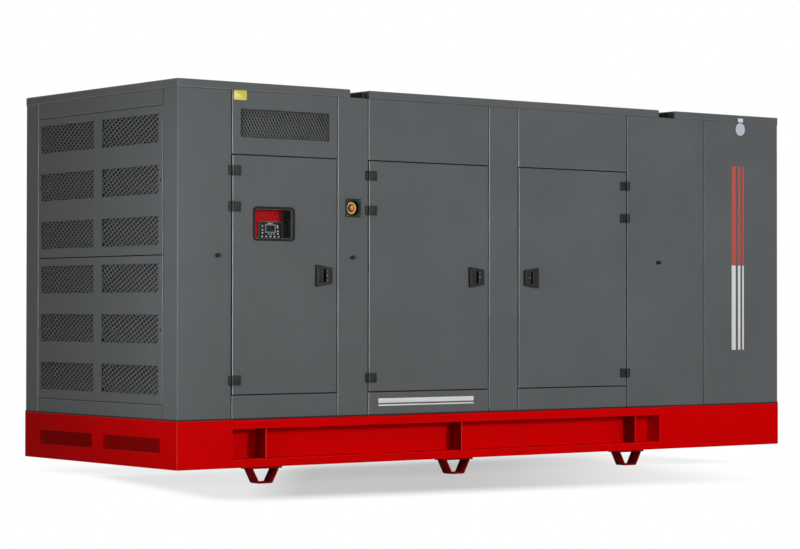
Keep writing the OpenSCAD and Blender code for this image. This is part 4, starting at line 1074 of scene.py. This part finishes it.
class GENSET_OT_stop_button(GensetOperator, bpy.types.Operator):
    """Build the stop button: bezel, dark cup, yellow ring on its floor, corner screws and mushroom."""
    bl_idname = "genset.stop_button"
    bl_label = "Stop button"

    def build(self, scene):
        f = scene.genset_fittings
        middle, span = middle_span("stop_button_housing")
        side = span[0]
        face = front(middle[0], middle[2])
        wall, floor, stem = f.cup_r + 4 * MM, f.cup_d + 6 * MM, 6 * MM
        steps = 9
        square, hole = rectangle(side, side, 7 * MM, steps), circle(f.cup_r, 4 * steps)
        bezel = collar(square, hole, 0.0, f.bezel, 1.5 * MM)
        bore = stem + 0.5 * MM
        cup = lathe([(wall, 0.5 * MM), (wall, -floor), (bore, -floor), (bore, -f.cup_d), (f.cup_r, -f.cup_d),
                     (f.cup_r, 0.5 * MM)], 36, closed=True)
        piece("stop_button_bezel", on(face, bezel, cup), "plastic", stands_for=["stop_button_housing"])
        # A ring on the cup's floor, its hole wide enough for the pressed button.
        rim = mm((23.5, 0.2), (34, 0.2), (34, 7), (32.5, 8.6), (29, 9.2), (25.5, 8.6), (23.5, 7))
        piece("stop_button_ring", on(face, lathe(rim - (0, f.cup_d), 48, closed=True)), "yellow")
        screw = lathe(mm((0, 1), (1.2, 1), (1.5, 1.8), (2.8, 1.1), (3.1, 0), (0, -1)), 14)
        corner = side / 2 - 9 * MM
        screws = repeated(screw, [(x, z, f.bezel) for x in (-corner, corner) for z in (-corner, corner)])
        piece("stop_button_screws", on(face, screws), "dull_zinc")
        low, high = low_high("stop_button")
        radius, top = (high[0] - low[0]) / 2, FACE_Y - low[1]
        # The cap's profile: shares of its radius, and millimetres below its top.
        cap = [(share * radius, top - down * MM) for share, down in (
            (0, 0), (0.45, 0.4), (0.78, 2), (0.97, 5), (1, 8), (0.9, 10))]
        cap += [(stem, top - 10 * MM), (stem, 1 * MM - floor), (0, 1 * MM - floor)]
        piece("stop_button_cap", on(face, lathe(cap, 32)), "mushroom", "stop_button_mushroom",
              ["stop_button"])


class GENSET_OT_lifting(GensetOperator, bpy.types.Operator):
    """Ease the edges of the lifting lugs and the plates between the roof caps."""
    bl_idname = "genset.lifting"
    bl_label = "Lifting lugs"

    def build(self, scene):
        folded("lifting_beams", 2 * MM, ("hardware",), least=30 * MM)


class GENSET_OT_fittings(GensetOperator, bpy.types.Operator):
    """Build the rubber buffers, the ends' quarter-turn fasteners and the back doors' fittings."""
    bl_idname = "genset.fittings"
    bl_label = "Buffers, fasteners and back fittings"

    def build(self, scene):
        low, high = solids("door_buffers")[0]
        r, out = (high[0] - low[0]) / 2, high[1] - low[1]
        rubber = lathe([(0, out - 5 * MM), (0.4 * r, out - 5 * MM), (0.4 * r, out - 0.5 * MM), (0.7 * r, out),
                        (0.82 * r, out - 2 * MM), (r, 3 * MM), (r, 0), (0, -1 * MM)], 24)
        screw = lathe([(0, out - 3 * MM), (0.3 * r, out - 3.5 * MM), (0.38 * r, out - 5 * MM),
                       (0, out - 6 * MM)], 12)
        shapes, screws = [], []
        for low, high in solids("door_buffers"):
            middle = (low + high) / 2
            side = math.copysign(1, middle[1])
            face = plane((middle[0], side * abs(FACE_Y), middle[2]), (-side, 0, 0), (0, 0, 1))
            shapes += on(face, rubber)
            screws += on(face, screw)
        piece("rubber_buffers", shapes, "rubber", stands_for=["door_buffers"])
        piece("buffer_screws", screws, "dark_screw")
        stud = lathe(mm((0, 1), (2, 1), (2.5, 2.5), (7, 2), (8.5, 0), (0, -2)), 16)
        slot = block(mm(-1.2, -5, 1.5), mm(1.2, 5, 2.8), 0.4 * MM)
        shapes = []
        for side in SIDES:
            for low, high in end_panels(side):
                for y in (low[1] + 19 * MM, high[1] - 19 * MM):
                    place = (side * abs(END_X), y, (low[2] + high[2]) / 2)
                    shapes += on(plane(place, (0, side, 0), (0, 0, 1)), stud, slot)
        piece("quarter_turn_fasteners", shapes, "hardware")
        folded("back_door_hardware", 2 * MM, ("hardware",), least=30 * MM)


class GENSET_OT_films(GensetOperator, bpy.types.Operator):
    """Lay plain films on the canopy: bands, a blank tag, a disc and a blank label."""
    bl_idname = "genset.films"
    bl_label = "Plain films"

    film_t: size("Film", "Thickness of a film, drawn thick enough to stand clear of the wall", 0.6)

    def build(self, scene):
        x = low_high("front_right_corner")[0][0] + 305 * MM
        # Three upright bands on the right corner post: from x to a band's middle, and its width.
        bands = mm((-37, 36), (12, 22), (47, 14))
        white = [(x + dx, 975 * MM, width, 540 * MM) for dx, width in bands]
        red = [(x + dx, 1565 * MM, width, 630 * MM) for dx, width in bands]
        sill_x, sill_z = low_high("door_2")[0][0] + 417 * MM, middle_span("front_sills")[0][2]
        white += [(sill_x, sill_z + 18 * MM, 700 * MM, 26 * MM), (sill_x, sill_z - 8 * MM, 700 * MM, 8 * MM),
                  (x + 22 * MM, EAVES_Z + 14 * MM, 44 * MM, 24 * MM)]
        tag = low_high("grille_header")[0][0] + 55 * MM
        yellow = [(tag, EAVES_Z - 26 * MM, 84 * MM, 52 * MM)]
        for name, labels in (("white", white), ("red", red), ("yellow", yellow)):
            shapes = []
            for at_x, at_z, width, height in labels:
                y = low_high("roof_right_cap")[0][1] if at_z > EAVES_Z else FACE_Y
                film = pad(rectangle(width, height, 3 * MM), -0.1 * MM, self.film_t, 0.2 * MM)
                shapes += on(front(at_x, at_z, y), film)
            piece(name + "_films", shapes, name + "_film")
        disc = pad(circle(41 * MM, 40), -0.1 * MM, 3 * MM, 1.5 * MM)
        piece("silver_disc", on(front(x + 22 * MM, EAVES_Z - 44 * MM), disc), "silver_film")


class GENSET_OT_engine(GensetOperator, bpy.types.Operator):
    """Build the vee engine: block, heads, covers, manifolds, turbochargers, filters and exhaust."""
    bl_idname = "genset.engine"
    bl_label = "Engine"

    bank: size("Bank", "From the engine's middle to a cylinder bank", 215)
    cylinders: count("Cylinders", "Cylinders in a bank", 6, 2, 8)

    def build(self, scene):
        low, high = low_high("engine")
        self.x0, self.x1, self.z0 = low[0], high[0], low[2]
        self.half_w, self.length = (high[1] - low[1]) / 2, high[0] - low[0]
        self.pitch = (self.length - 0.3) / self.cylinders
        self.spots = self.x0 + 0.15 + self.pitch * (np.arange(self.cylinders) + 0.5)
        self.end = along_x(self.x0 + 0.06, 0, self.z0)
        self.casting()
        self.covers()
        self.exhaust()
        self.pulleys()

    def casting(self):
        """Block, sump, heads, ribs, flywheel, feet and the round doors in the block's sides."""
        x0, x1, z0, half_w, pitch, spots = self.x0, self.x1, self.z0, self.half_w, self.pitch, self.spots
        flank = [(0.17, 0.06), (0.22, 0.2), (half_w - 0.03, 0.42), (half_w - 0.03, 0.66), (0.1, 0.74)]
        profile = rounded([(-0.17, 0.06), *flank, *((-y, z) for y, z in flank[:0:-1])], 0.025)
        sump = rounded([(-0.19, 0.07), (0.19, 0.07), (0.2, 0.27), (-0.2, 0.27)], 0.03)
        iron = on(self.end, pad(profile, 0.0, self.length - 0.12, 0.02, both=True),
                  pad(sump, 0.09, self.length - 0.3, 0.03, both=True))
        head = block((-0.4 * pitch, -0.125, 0.64), (0.4 * pitch, 0.125, 0.86), 0.012)
        iron += [repeated(head, [(x, side * self.bank, z0) for x in spots]) for side in SIDES]
        rib = block((-0.46 * pitch, 0.012 - half_w, 0.36), (-0.40 * pitch, half_w - 0.012, 0.62), 0.01)
        iron.append(repeated(rib, [(x, 0, z0) for x in spots]))
        wheel = lathe([(0, 0), (0.3, 0), (0.33, 0.015), (0.33, 0.05), (0.31, 0.065), (0, 0.065)], 40)
        iron += on(along_x(x0, 0, z0 + 0.4), wheel)
        foot = block((0, -0.06, 0.0), (0.16, 0.06, 0.24), 0.012)
        iron.append(repeated(foot, [(x, side * 0.31, z0) for x in (x0 + 0.22, x1 - 0.38) for side in SIDES]))
        door = lathe([(0, 0.012), (0.05, 0.012), (0.06, 0.008), (0.062, 0), (0, -0.01)], 20)
        for side in SIDES:
            face = plane((0, side * (half_w - 0.03), z0 + 0.54), (-side, 0, 0), (0, 0, 1))
            iron += on(face, repeated(door, [(-side * x, 0, 0) for x in spots]))
        piece("engine_block", iron, "iron", stands_for=["engine"])

    def covers(self):
        """Rocker covers with their bolts, the inlet plenum with its runners, and three filters."""
        x0, z0, spots = self.x0, self.z0, self.spots
        cover = pad(rectangle(0.76 * self.pitch, 0.2, 0.03), 0.85, 0.95, 0.03)
        bolt = lathe([(0, 0.962), (0.008, 0.962), (0.009, 0.954), (0.009, 0.945), (0, 0.945)], 6)
        over = [(x, side * self.bank) for x in spots for side in SIDES]
        covers = [repeated(cover, [(x, y, z0) for x, y in over]),
                  repeated(bolt, [(x, y + dy, z0) for x, y in over for dy in (-0.05, 0.05)])]
        plenum = rounded([(-0.07, 0.82), (0.07, 0.82), (0.08, 0.98), (-0.08, 0.98)], 0.03)
        covers += on(self.end, pad(plenum, 0.14, self.length - 0.4, 0.04, both=True))
        runner = ((0.05, 0.92), (0.09, 0.93), (0.12, 0.84), (0.14, 0.78))
        covers += [tube([(x, side * y, z0 + z) for y, z in runner], 0.025, 12, 2)
                   for side in SIDES for x in spots]
        piece("engine_covers", covers, "alternator")
        can = lathe([(0, 0), (0.045, 0), (0.05, -0.01), (0.05, -0.19), (0.04, -0.205), (0, -0.205)], 24)
        places = [(x0 + dx, 0.055 - self.half_w, z0 + 0.56) for dx in (0.2, 0.32, 0.44)]
        piece("engine_filters", [repeated(can, places)], "white_film")

    def exhaust(self):
        """A manifold and a turbocharger on each side, their pipes meeting in a silencer."""
        x0, z0, spots = self.x0, self.z0, self.spots
        scroll = lathe([(0.03, -0.07), (0.075, -0.065), (0.1, -0.035), (0.1, 0.01), (0.06, 0.03),
                        (0.05, 0.08), (0.085, 0.1), (0.085, 0.14), (0.05, 0.16), (0, 0.16)], 28)
        pipe = ((0.2, 0.2, 1.05), (0.4, 0.2, 1.06), (0.55, 0.1, 1.1), (0.7, 0, 1.11))
        hot = []
        for side in SIDES:
            y, port = side * (self.bank + 0.15), side * (self.bank + 0.11)
            hot.append(tube([(spots[0] - 0.06, y, z0 + 0.8), (spots[-1] + 0.12, y, z0 + 0.8)], 0.026, 16))
            hot += [tube([(x, port, z0 + 0.74), (x, y, z0 + 0.75), (x, y, z0 + 0.8)], 0.02, 12, 1)
                    for x in spots]
            hot += on(along_x(x0 + 0.2, side * 0.2, z0 + 1.05), scroll)
            hot.append(tube([(x0 + dx, side * dy, z0 + dz) for dx, dy, dz in pipe], 0.045, 16, 2))
        can = lathe([(0, 0), (0.06, 0), (0.072, 0.02), (0.072, 0.38), (0.06, 0.4), (0, 0.4)], 28)
        hot += on(along_x(x0 + 0.66, 0, z0 + 1.11), can)
        piece("engine_exhaust", hot, "exhaust")

    def pulleys(self):
        """Three grooved pulleys at the fan's end."""
        pulley = lathe([(0, 0), (0.11, 0), (0.11, 0.008), (0.1, 0.014), (0.1, 0.026), (0.11, 0.032),
                        (0.11, 0.045), (0, 0.045)], 28)
        face = along_x(self.x1 - 0.06, 0, self.z0)
        belts = [repeated(on(face, pulley)[0], [(0, y, z)]) for y, z in ((0, 0.26), (0, 0.75), (-0.2, 0.5))]
        piece("engine_pulleys", belts, "matt_black")


class GENSET_OT_alternator(GensetOperator, bpy.types.Operator):
    """Build the alternator: ribbed frame, slotted end covers, feet and terminal box."""
    bl_idname = "genset.alternator"
    bl_label = "Alternator"

    ribs: count("Ribs", "Ribs round the frame", 36, 12, 72)

    def build(self, scene):
        low, high = low_high("alternator")
        x0, z0, z1 = low[0], low[2], high[2]
        radius = (high[1] - low[1]) / 2
        length, axis_z = high[0] - low[0], z1 - 0.12 - radius
        r = radius - 0.02
        drum = lathe([(0, 0), (0.16, 0), (0.2, 0.01), (r - 0.06, 0.03), (r, 0.09), (r, 0.2), (r - 0.02, 0.21),
                      (r - 0.02, length - 0.2), (r, length - 0.19), (r, length - 0.02), (r - 0.02, length),
                      (0, length)], 64)
        rib = block((r - 0.025, -0.004, 0.21), (radius - 0.004, 0.004, length - 0.2), 0.003)
        slot = block((0.19, -0.008, 0.012), (r - 0.075, 0.008, 0.034), 0.003)
        shapes = on(along_x(x0, 0, axis_z), drum, *spun(rib, self.ribs), *spun(slot, self.ribs // 2))
        for side in SIDES:
            y = side * 0.26
            shapes.append(block((x0 + 0.12, y - 0.055, z0), (high[0] - 0.12, y + 0.055, z0 + 0.03), 0.006))
            web = block((0, y - 0.05, 0), (0.02, y + 0.05, axis_z - 0.18 - z0), 0.004)
            shapes.append(repeated(web, [(x0 + dx, 0, z0) for dx in (0.16, 0.36, 0.56, 0.74)]))
        shapes.append(block((x0 + 0.08, -0.215, axis_z + 0.15), (x0 + 0.52, 0.215, z1 - 0.025), 0.015))
        shapes.append(block((x0 + 0.07, -0.22, z1 - 0.03), (x0 + 0.53, 0.22, z1), 0.008))
        piece("alternator_frame", shapes, "alternator", stands_for=["alternator"])
        conduits = [
            tube([(x + 0.01, -0.2, axis_z + 0.36), (x + 0.01, -0.27, axis_z + 0.34),
                  (x, -0.34, axis_z + 0.12), (x, -0.345, z0 + 0.03)], 0.014, 10, 3)
            for x in (x0 + 0.19 + 0.06 * n for n in range(4))
        ]
        piece("alternator_conduits", conduits, "rubber")


class GENSET_OT_radiator(GensetOperator, bpy.types.Operator):
    """Build the radiator: tanks, side channels, finned core, fan shroud and fan."""
    bl_idname = "genset.radiator"
    bl_label = "Radiator and fan"

    blades: count("Blades", "Blades of the fan", 8, 4, 12)

    def build(self, scene):
        low, high = low_high("radiator")
        x0, x1 = low[0] + 0.05, high[0]
        half, z0, z1 = high[1], low[2], high[2]
        shapes = [
            block((x0, -half, z1 - 0.16), (x1, half, z1), 0.02),
            block((x0, -half, z0), (x1, half, z0 + 0.14), 0.012),
            block((x0 + 0.01, -half, z0 + 0.12), (x1 - 0.01, 0.06 - half, z1 - 0.14), 0.006),
            block((x0 + 0.01, half - 0.06, z0 + 0.12), (x1 - 0.01, half, z1 - 0.14), 0.006),
        ]
        face = along_x(x0, 0, (z0 + z1) / 2)
        outer = rectangle(2 * half - 0.04, z1 - z0 - 0.3, 0.02, 10)
        hoop = lathe([(0.53, -0.05), (0.545, -0.05), (0.545, 0.0), (0.53, 0.0)], 64, closed=True)
        shapes += on(face, collar(outer, circle(0.53, 40), -0.012, 0.012, 0.004), hoop)
        piece("radiator_frame", shapes, "matt_black", stands_for=["radiator"])
        core = block((x0 + 0.03, 0.06 - half, z0 + 0.14), (x1 - 0.02, half - 0.06, z1 - 0.16), 0.004)
        piece("radiator_core", [core], "fins")
        hub = lathe([(0, -0.049), (0.06, -0.049), (0.1, -0.044), (0.11, -0.036), (0.11, 0.0), (0, 0.0)], 40)
        piece("radiator_fan", on(face, *spun(fan_blade(0.09, 0.5), self.blades), hub), "hardware")
        cap = lathe([(0, 0.0), (0.028, 0.0), (0.03, -0.006), (0.03, -0.02), (0.022, -0.022), (0.022, -0.04),
                     (0, -0.04)], 20)
        stubs = [tube([(x0 + 0.02, y, z1 - 0.09), (x0 - 0.03, y, z1 - 0.09)], 0.032, 20)
                 for y in (-0.25, 0.25)]
        piece("radiator_pipe_stubs", stubs + [repeated(cap, [((x0 + x1) / 2, 0.3, z1)])], "rubber")


def fan_blade(root, tip):
    """Grid from root to tip by front to back edge, its chord turned less as it runs out.

    Half the chord is 50 mm, and 30 mm more at mid-blade.  Its turn falls from 52 degrees by 34.
    """
    span, chord = np.meshgrid(np.linspace(root, tip, 12), np.linspace(-1, 1, 9), indexing="ij")
    turn = np.radians(52 - 34 * (span - root) / (tip - root))
    width = 0.05 + 0.03 * np.sin(math.pi * (span - root) / tip)
    blade = np.stack([span, chord * width * np.cos(turn), -0.026 + 0.28 * chord * width * np.sin(turn)], -1)
    return loft(np.concatenate([blade, blade[:, ::-1] + (0, 0, 0.003)], 1))


class GENSET_OT_stage(GensetOperator, bpy.types.Operator):
    """Lay the floor, light the set and aim the camera."""
    bl_idname = "genset.stage"
    bl_label = "Stage"

    def build(self, scene):
        s = scene.genset_stage
        # A round floor of rings, from a disc of 2 m out to 60 m.
        radii = np.array([2.0, 4.0, 6.0, 8.0, 10.0, 14.0, 60.0])
        angle = np.linspace(0, 2 * math.pi, 96, endpoint=False)
        rings = np.zeros((len(radii), len(angle), 3))
        rings[..., :2] = radii[:, None, None] * np.stack([np.cos(angle), np.sin(angle)], -1)
        verts, faces = loft(rings)
        mesh = bpy.data.meshes.new("studio_floor")
        mesh.from_pydata(verts - (0, 0, 0.2 * MM), [], faces[:-2] + [faces[-2][::-1]])
        mesh.materials.append(floor_paint())
        floor = bpy.data.objects.new("studio_floor", mesh)
        scene.collection.objects.link(floor)
        scene.world = studio_world(s.sky)

        # The key is a small softbox to the right of the front, and the side one stands near the left end.
        # The gleam is a tall panel that lights nothing and shows only in glossy edges.
        for name, place, towards, width, height, power, diffuse in (
            ("key_lamp", (1.3, -7.6, 2.2), (0.2, -0.8, 1.15), 1.1, 1.1, s.key, True),
            ("side_lamp", (-3.6, -1.3, 1.3), (-2.3, 0.0, 1.3), 0.6, 2.0, s.side, True),
            ("gleam_lamp", (-6.5, -4.2, 1.4), (-1.0, -0.8, 1.3), 3.2, 3.0, s.gleam, False),
        ):
            lamp = bpy.data.lights.new(name, "AREA")
            lamp.shape, lamp.size, lamp.size_y, lamp.energy = "RECTANGLE", width, height, power
            made = bpy.data.objects.new(name, lamp)
            made.location = place
            made.visible_diffuse = diffuse
            made.visible_camera = False
            way = Vector(towards) - Vector(place)
            made.rotation_euler = way.to_track_quat("-Z", "Y").to_euler()
            scene.collection.objects.link(made)

        camera = bpy.data.cameras.new("camera")
        camera.lens, camera.sensor_width, camera.clip_end = s.lens, 36.0, 200.0
        made = bpy.data.objects.new("camera", camera)
        made.location = s.place
        made.rotation_euler = (math.pi / 2 + s.rise, s.roll, s.heading)
        scene.collection.objects.link(made)
        scene.camera = made
        scene.view_settings.view_transform = "Standard"


def shown_ray(tree):
    """1 for a ray that shows the stage: from the camera, in a gloss or through glass."""
    path = add(tree, "ShaderNodeLightPath").outputs
    either = math_node(tree, "MAXIMUM", {0: path["Is Camera Ray"], 1: path["Is Glossy Ray"]})
    return math_node(tree, "MAXIMUM", {0: either, 1: path["Is Transmission Ray"]})


def beyond(tree, where, way, start, end, least=0.0):
    """Soft edge: falls from 1 to least as a point goes from start to end along a way, in metres."""
    along = add(tree, "ShaderNodeVectorMath", {"operation": "DOT_PRODUCT", 1: way}, {0: where})
    fall = {"interpolation_type": "SMOOTHSTEP", "From Min": start, "From Max": end,
            "To Min": 1.0, "To Max": least}
    return add(tree, "ShaderNodeMapRange", fall, {"Value": along.outputs["Value"]}).outputs[0]


def patch(tree, where, edges):
    """Product of several soft edges: 1 inside them all."""
    total = None
    for edge in edges:
        factor = beyond(tree, where, *edge)
        total = factor if total is None else math_node(tree, "MULTIPLY", {0: total, 1: factor})
    return total


def studio_world(strength):
    """White backdrop where it shows, and elsewhere an even light of that strength.

    The light is dimmer from the left and behind, as in a hall with its doors to the front.
    """
    world = bpy.data.worlds.new("studio_world")
    world.use_nodes = True
    tree = world.node_tree
    tree.nodes.clear()
    where = add(tree, "ShaderNodeTexCoord").outputs["Generated"]
    dimmed = beyond(tree, where, (-0.94, 0.34, 0.0), -0.3, 0.9, 0.38)
    sky = math_node(tree, "MULTIPLY", {0: dimmed}, {1: strength})
    white = (1.0, 1.0, 1.0, 1.0)
    even = add(tree, "ShaderNodeBackground", {"Color": white}, {"Strength": sky})
    shown = add(tree, "ShaderNodeBackground", {"Color": white, "Strength": 1.0})
    ray = shown_ray(tree)
    mix = add(tree, "ShaderNodeMixShader", links={0: ray, 1: even.outputs[0], 2: shown.outputs[0]})
    add(tree, "ShaderNodeOutputWorld", links={"Surface": mix.outputs[0]})
    return world


def floor_paint():
    """Seamless studio floor: a painted shadow of pale grey where the set's shadow falls, plain white beyond
    it.

    The painted shadow's reach is a patch with soft edges in front of the set, and a fainter one under all of
    it.
    """
    material, tree, shader, where = blank("seamless_studio_floor", {
        "Roughness": 0.9, "Specular IOR Level": 0.0, "Emission Color": (1.0, 1.0, 1.0, 1.0)})
    # Each edge: the way it faces, where it starts and ends along that way, and what is left beyond it.
    ahead = patch(tree, where, [
        ((-0.153, -0.988, 0.0), 1.80, 2.40),
        ((-0.976, 0.219, 0.0), 2.05, 2.28),
        ((0.905, -0.425, 0.0), 1.1, 1.75),
        ((0.0, 1.0, 0.0), -0.1, 0.6, 0.3),
        ((0.0, 1.0, 0.0), 0.9, 1.6),
        ((-0.794, 0.608, 0.0), 0.60, 1.00, 0.5),
        ((0.794, -0.608, 0.0), 0.10, 1.80, 0.3),
    ])
    soft = 0.35
    under = patch(tree, where, [
        ((1.0, 0.0, 0.0), 1.60, 1.60 + soft),
        ((-1.0, 0.0, 0.0), 1.95, 1.95 + soft),
        ((0.0, 1.0, 0.0), 0.75, 0.75 + soft),
        ((0.0, -1.0, 0.0), 0.75, 0.75 + soft),
    ])
    faint = math_node(tree, "MULTIPLY", {0: under}, {1: 0.3})
    shade = math_node(tree, "MAXIMUM", {0: ahead, 1: faint})
    ray = shown_ray(tree)
    bright = math_node(tree, "SUBTRACT", {1: shade}, {0: 1.0})
    seen = math_node(tree, "MULTIPLY", {0: bright, 1: ray})
    # Light that bounces off the floor meets a mid grey; in the patch the floor that shows is darker and glows
    # at half strength, which sets the painted shadow's grey, and real light and shade shift it a little.
    grey = add(tree, "ShaderNodeMix",
               {"data_type": "RGBA", 6: (0.5, 0.5, 0.5, 1.0), 7: (0.12, 0.12, 0.12, 1.0)}, {0: ray})
    tree.links.new(grey.outputs[2], shader.inputs["Base Color"])
    tree.links.new(math_node(tree, "MULTIPLY", {0: ray}, {1: 0.5}), shader.inputs["Emission Strength"])
    glow = add(tree, "ShaderNodeEmission", {"Strength": 1.0})
    mix = add(tree, "ShaderNodeMixShader", links={0: seen, 1: shader.outputs[0], 2: glow.outputs[0]})
    tree.links.new(mix.outputs[0], tree.nodes["Material Output"].inputs["Surface"])
    return material


# ------------------------------------------------------------------ panel and registration

STEPS = (GENSET_OT_materials, GENSET_OT_canopy, GENSET_OT_base, GENSET_OT_mesh, GENSET_OT_linings,
         GENSET_OT_hinges, GENSET_OT_latches, GENSET_OT_window, GENSET_OT_stop_button, GENSET_OT_lifting,
         GENSET_OT_fittings, GENSET_OT_films, GENSET_OT_engine, GENSET_OT_alternator, GENSET_OT_radiator,
         GENSET_OT_stage)
GROUPS = {"genset_paint": GensetPaint, "genset_sheet": GensetSheet, "genset_fittings": GensetFittings,
          "genset_stage": GensetStage}


class GENSET_PT_panel(bpy.types.Panel):
    """Lists every step and every size."""
    bl_idname = "GENSET_PT_panel"
    bl_label = "Generator set"
    bl_space_type = "VIEW_3D"
    bl_region_type = "UI"
    bl_category = "Generator set"

    def draw(self, context):
        for step in STEPS:
            self.layout.operator(step.bl_idname, text=step.bl_label)
        for name, group in GROUPS.items():
            box = self.layout.box()
            box.label(text=group.__doc__)
            for prop in group.__annotations__:
                box.prop(getattr(context.scene, name), prop)


def register():
    """Adds every class, and the property groups to the scene."""
    for made in (*GROUPS.values(), *STEPS, GENSET_PT_panel):
        bpy.utils.register_class(made)
    for name, group in GROUPS.items():
        setattr(bpy.types.Scene, name, bpy.props.PointerProperty(type=group))


def unregister():
    """Takes the property groups and every class out again, last first."""
    for name in reversed(GROUPS):
        delattr(bpy.types.Scene, name)
    for made in reversed((*GROUPS.values(), *STEPS, GENSET_PT_panel)):
        bpy.utils.unregister_class(made)


def main():
    """Registers the steps and runs them in order."""
    register()
    for step in STEPS:
        group, name = step.bl_idname.split(".")
        getattr(getattr(bpy.ops, group), name)()


if __name__ == "__main__":
    main()
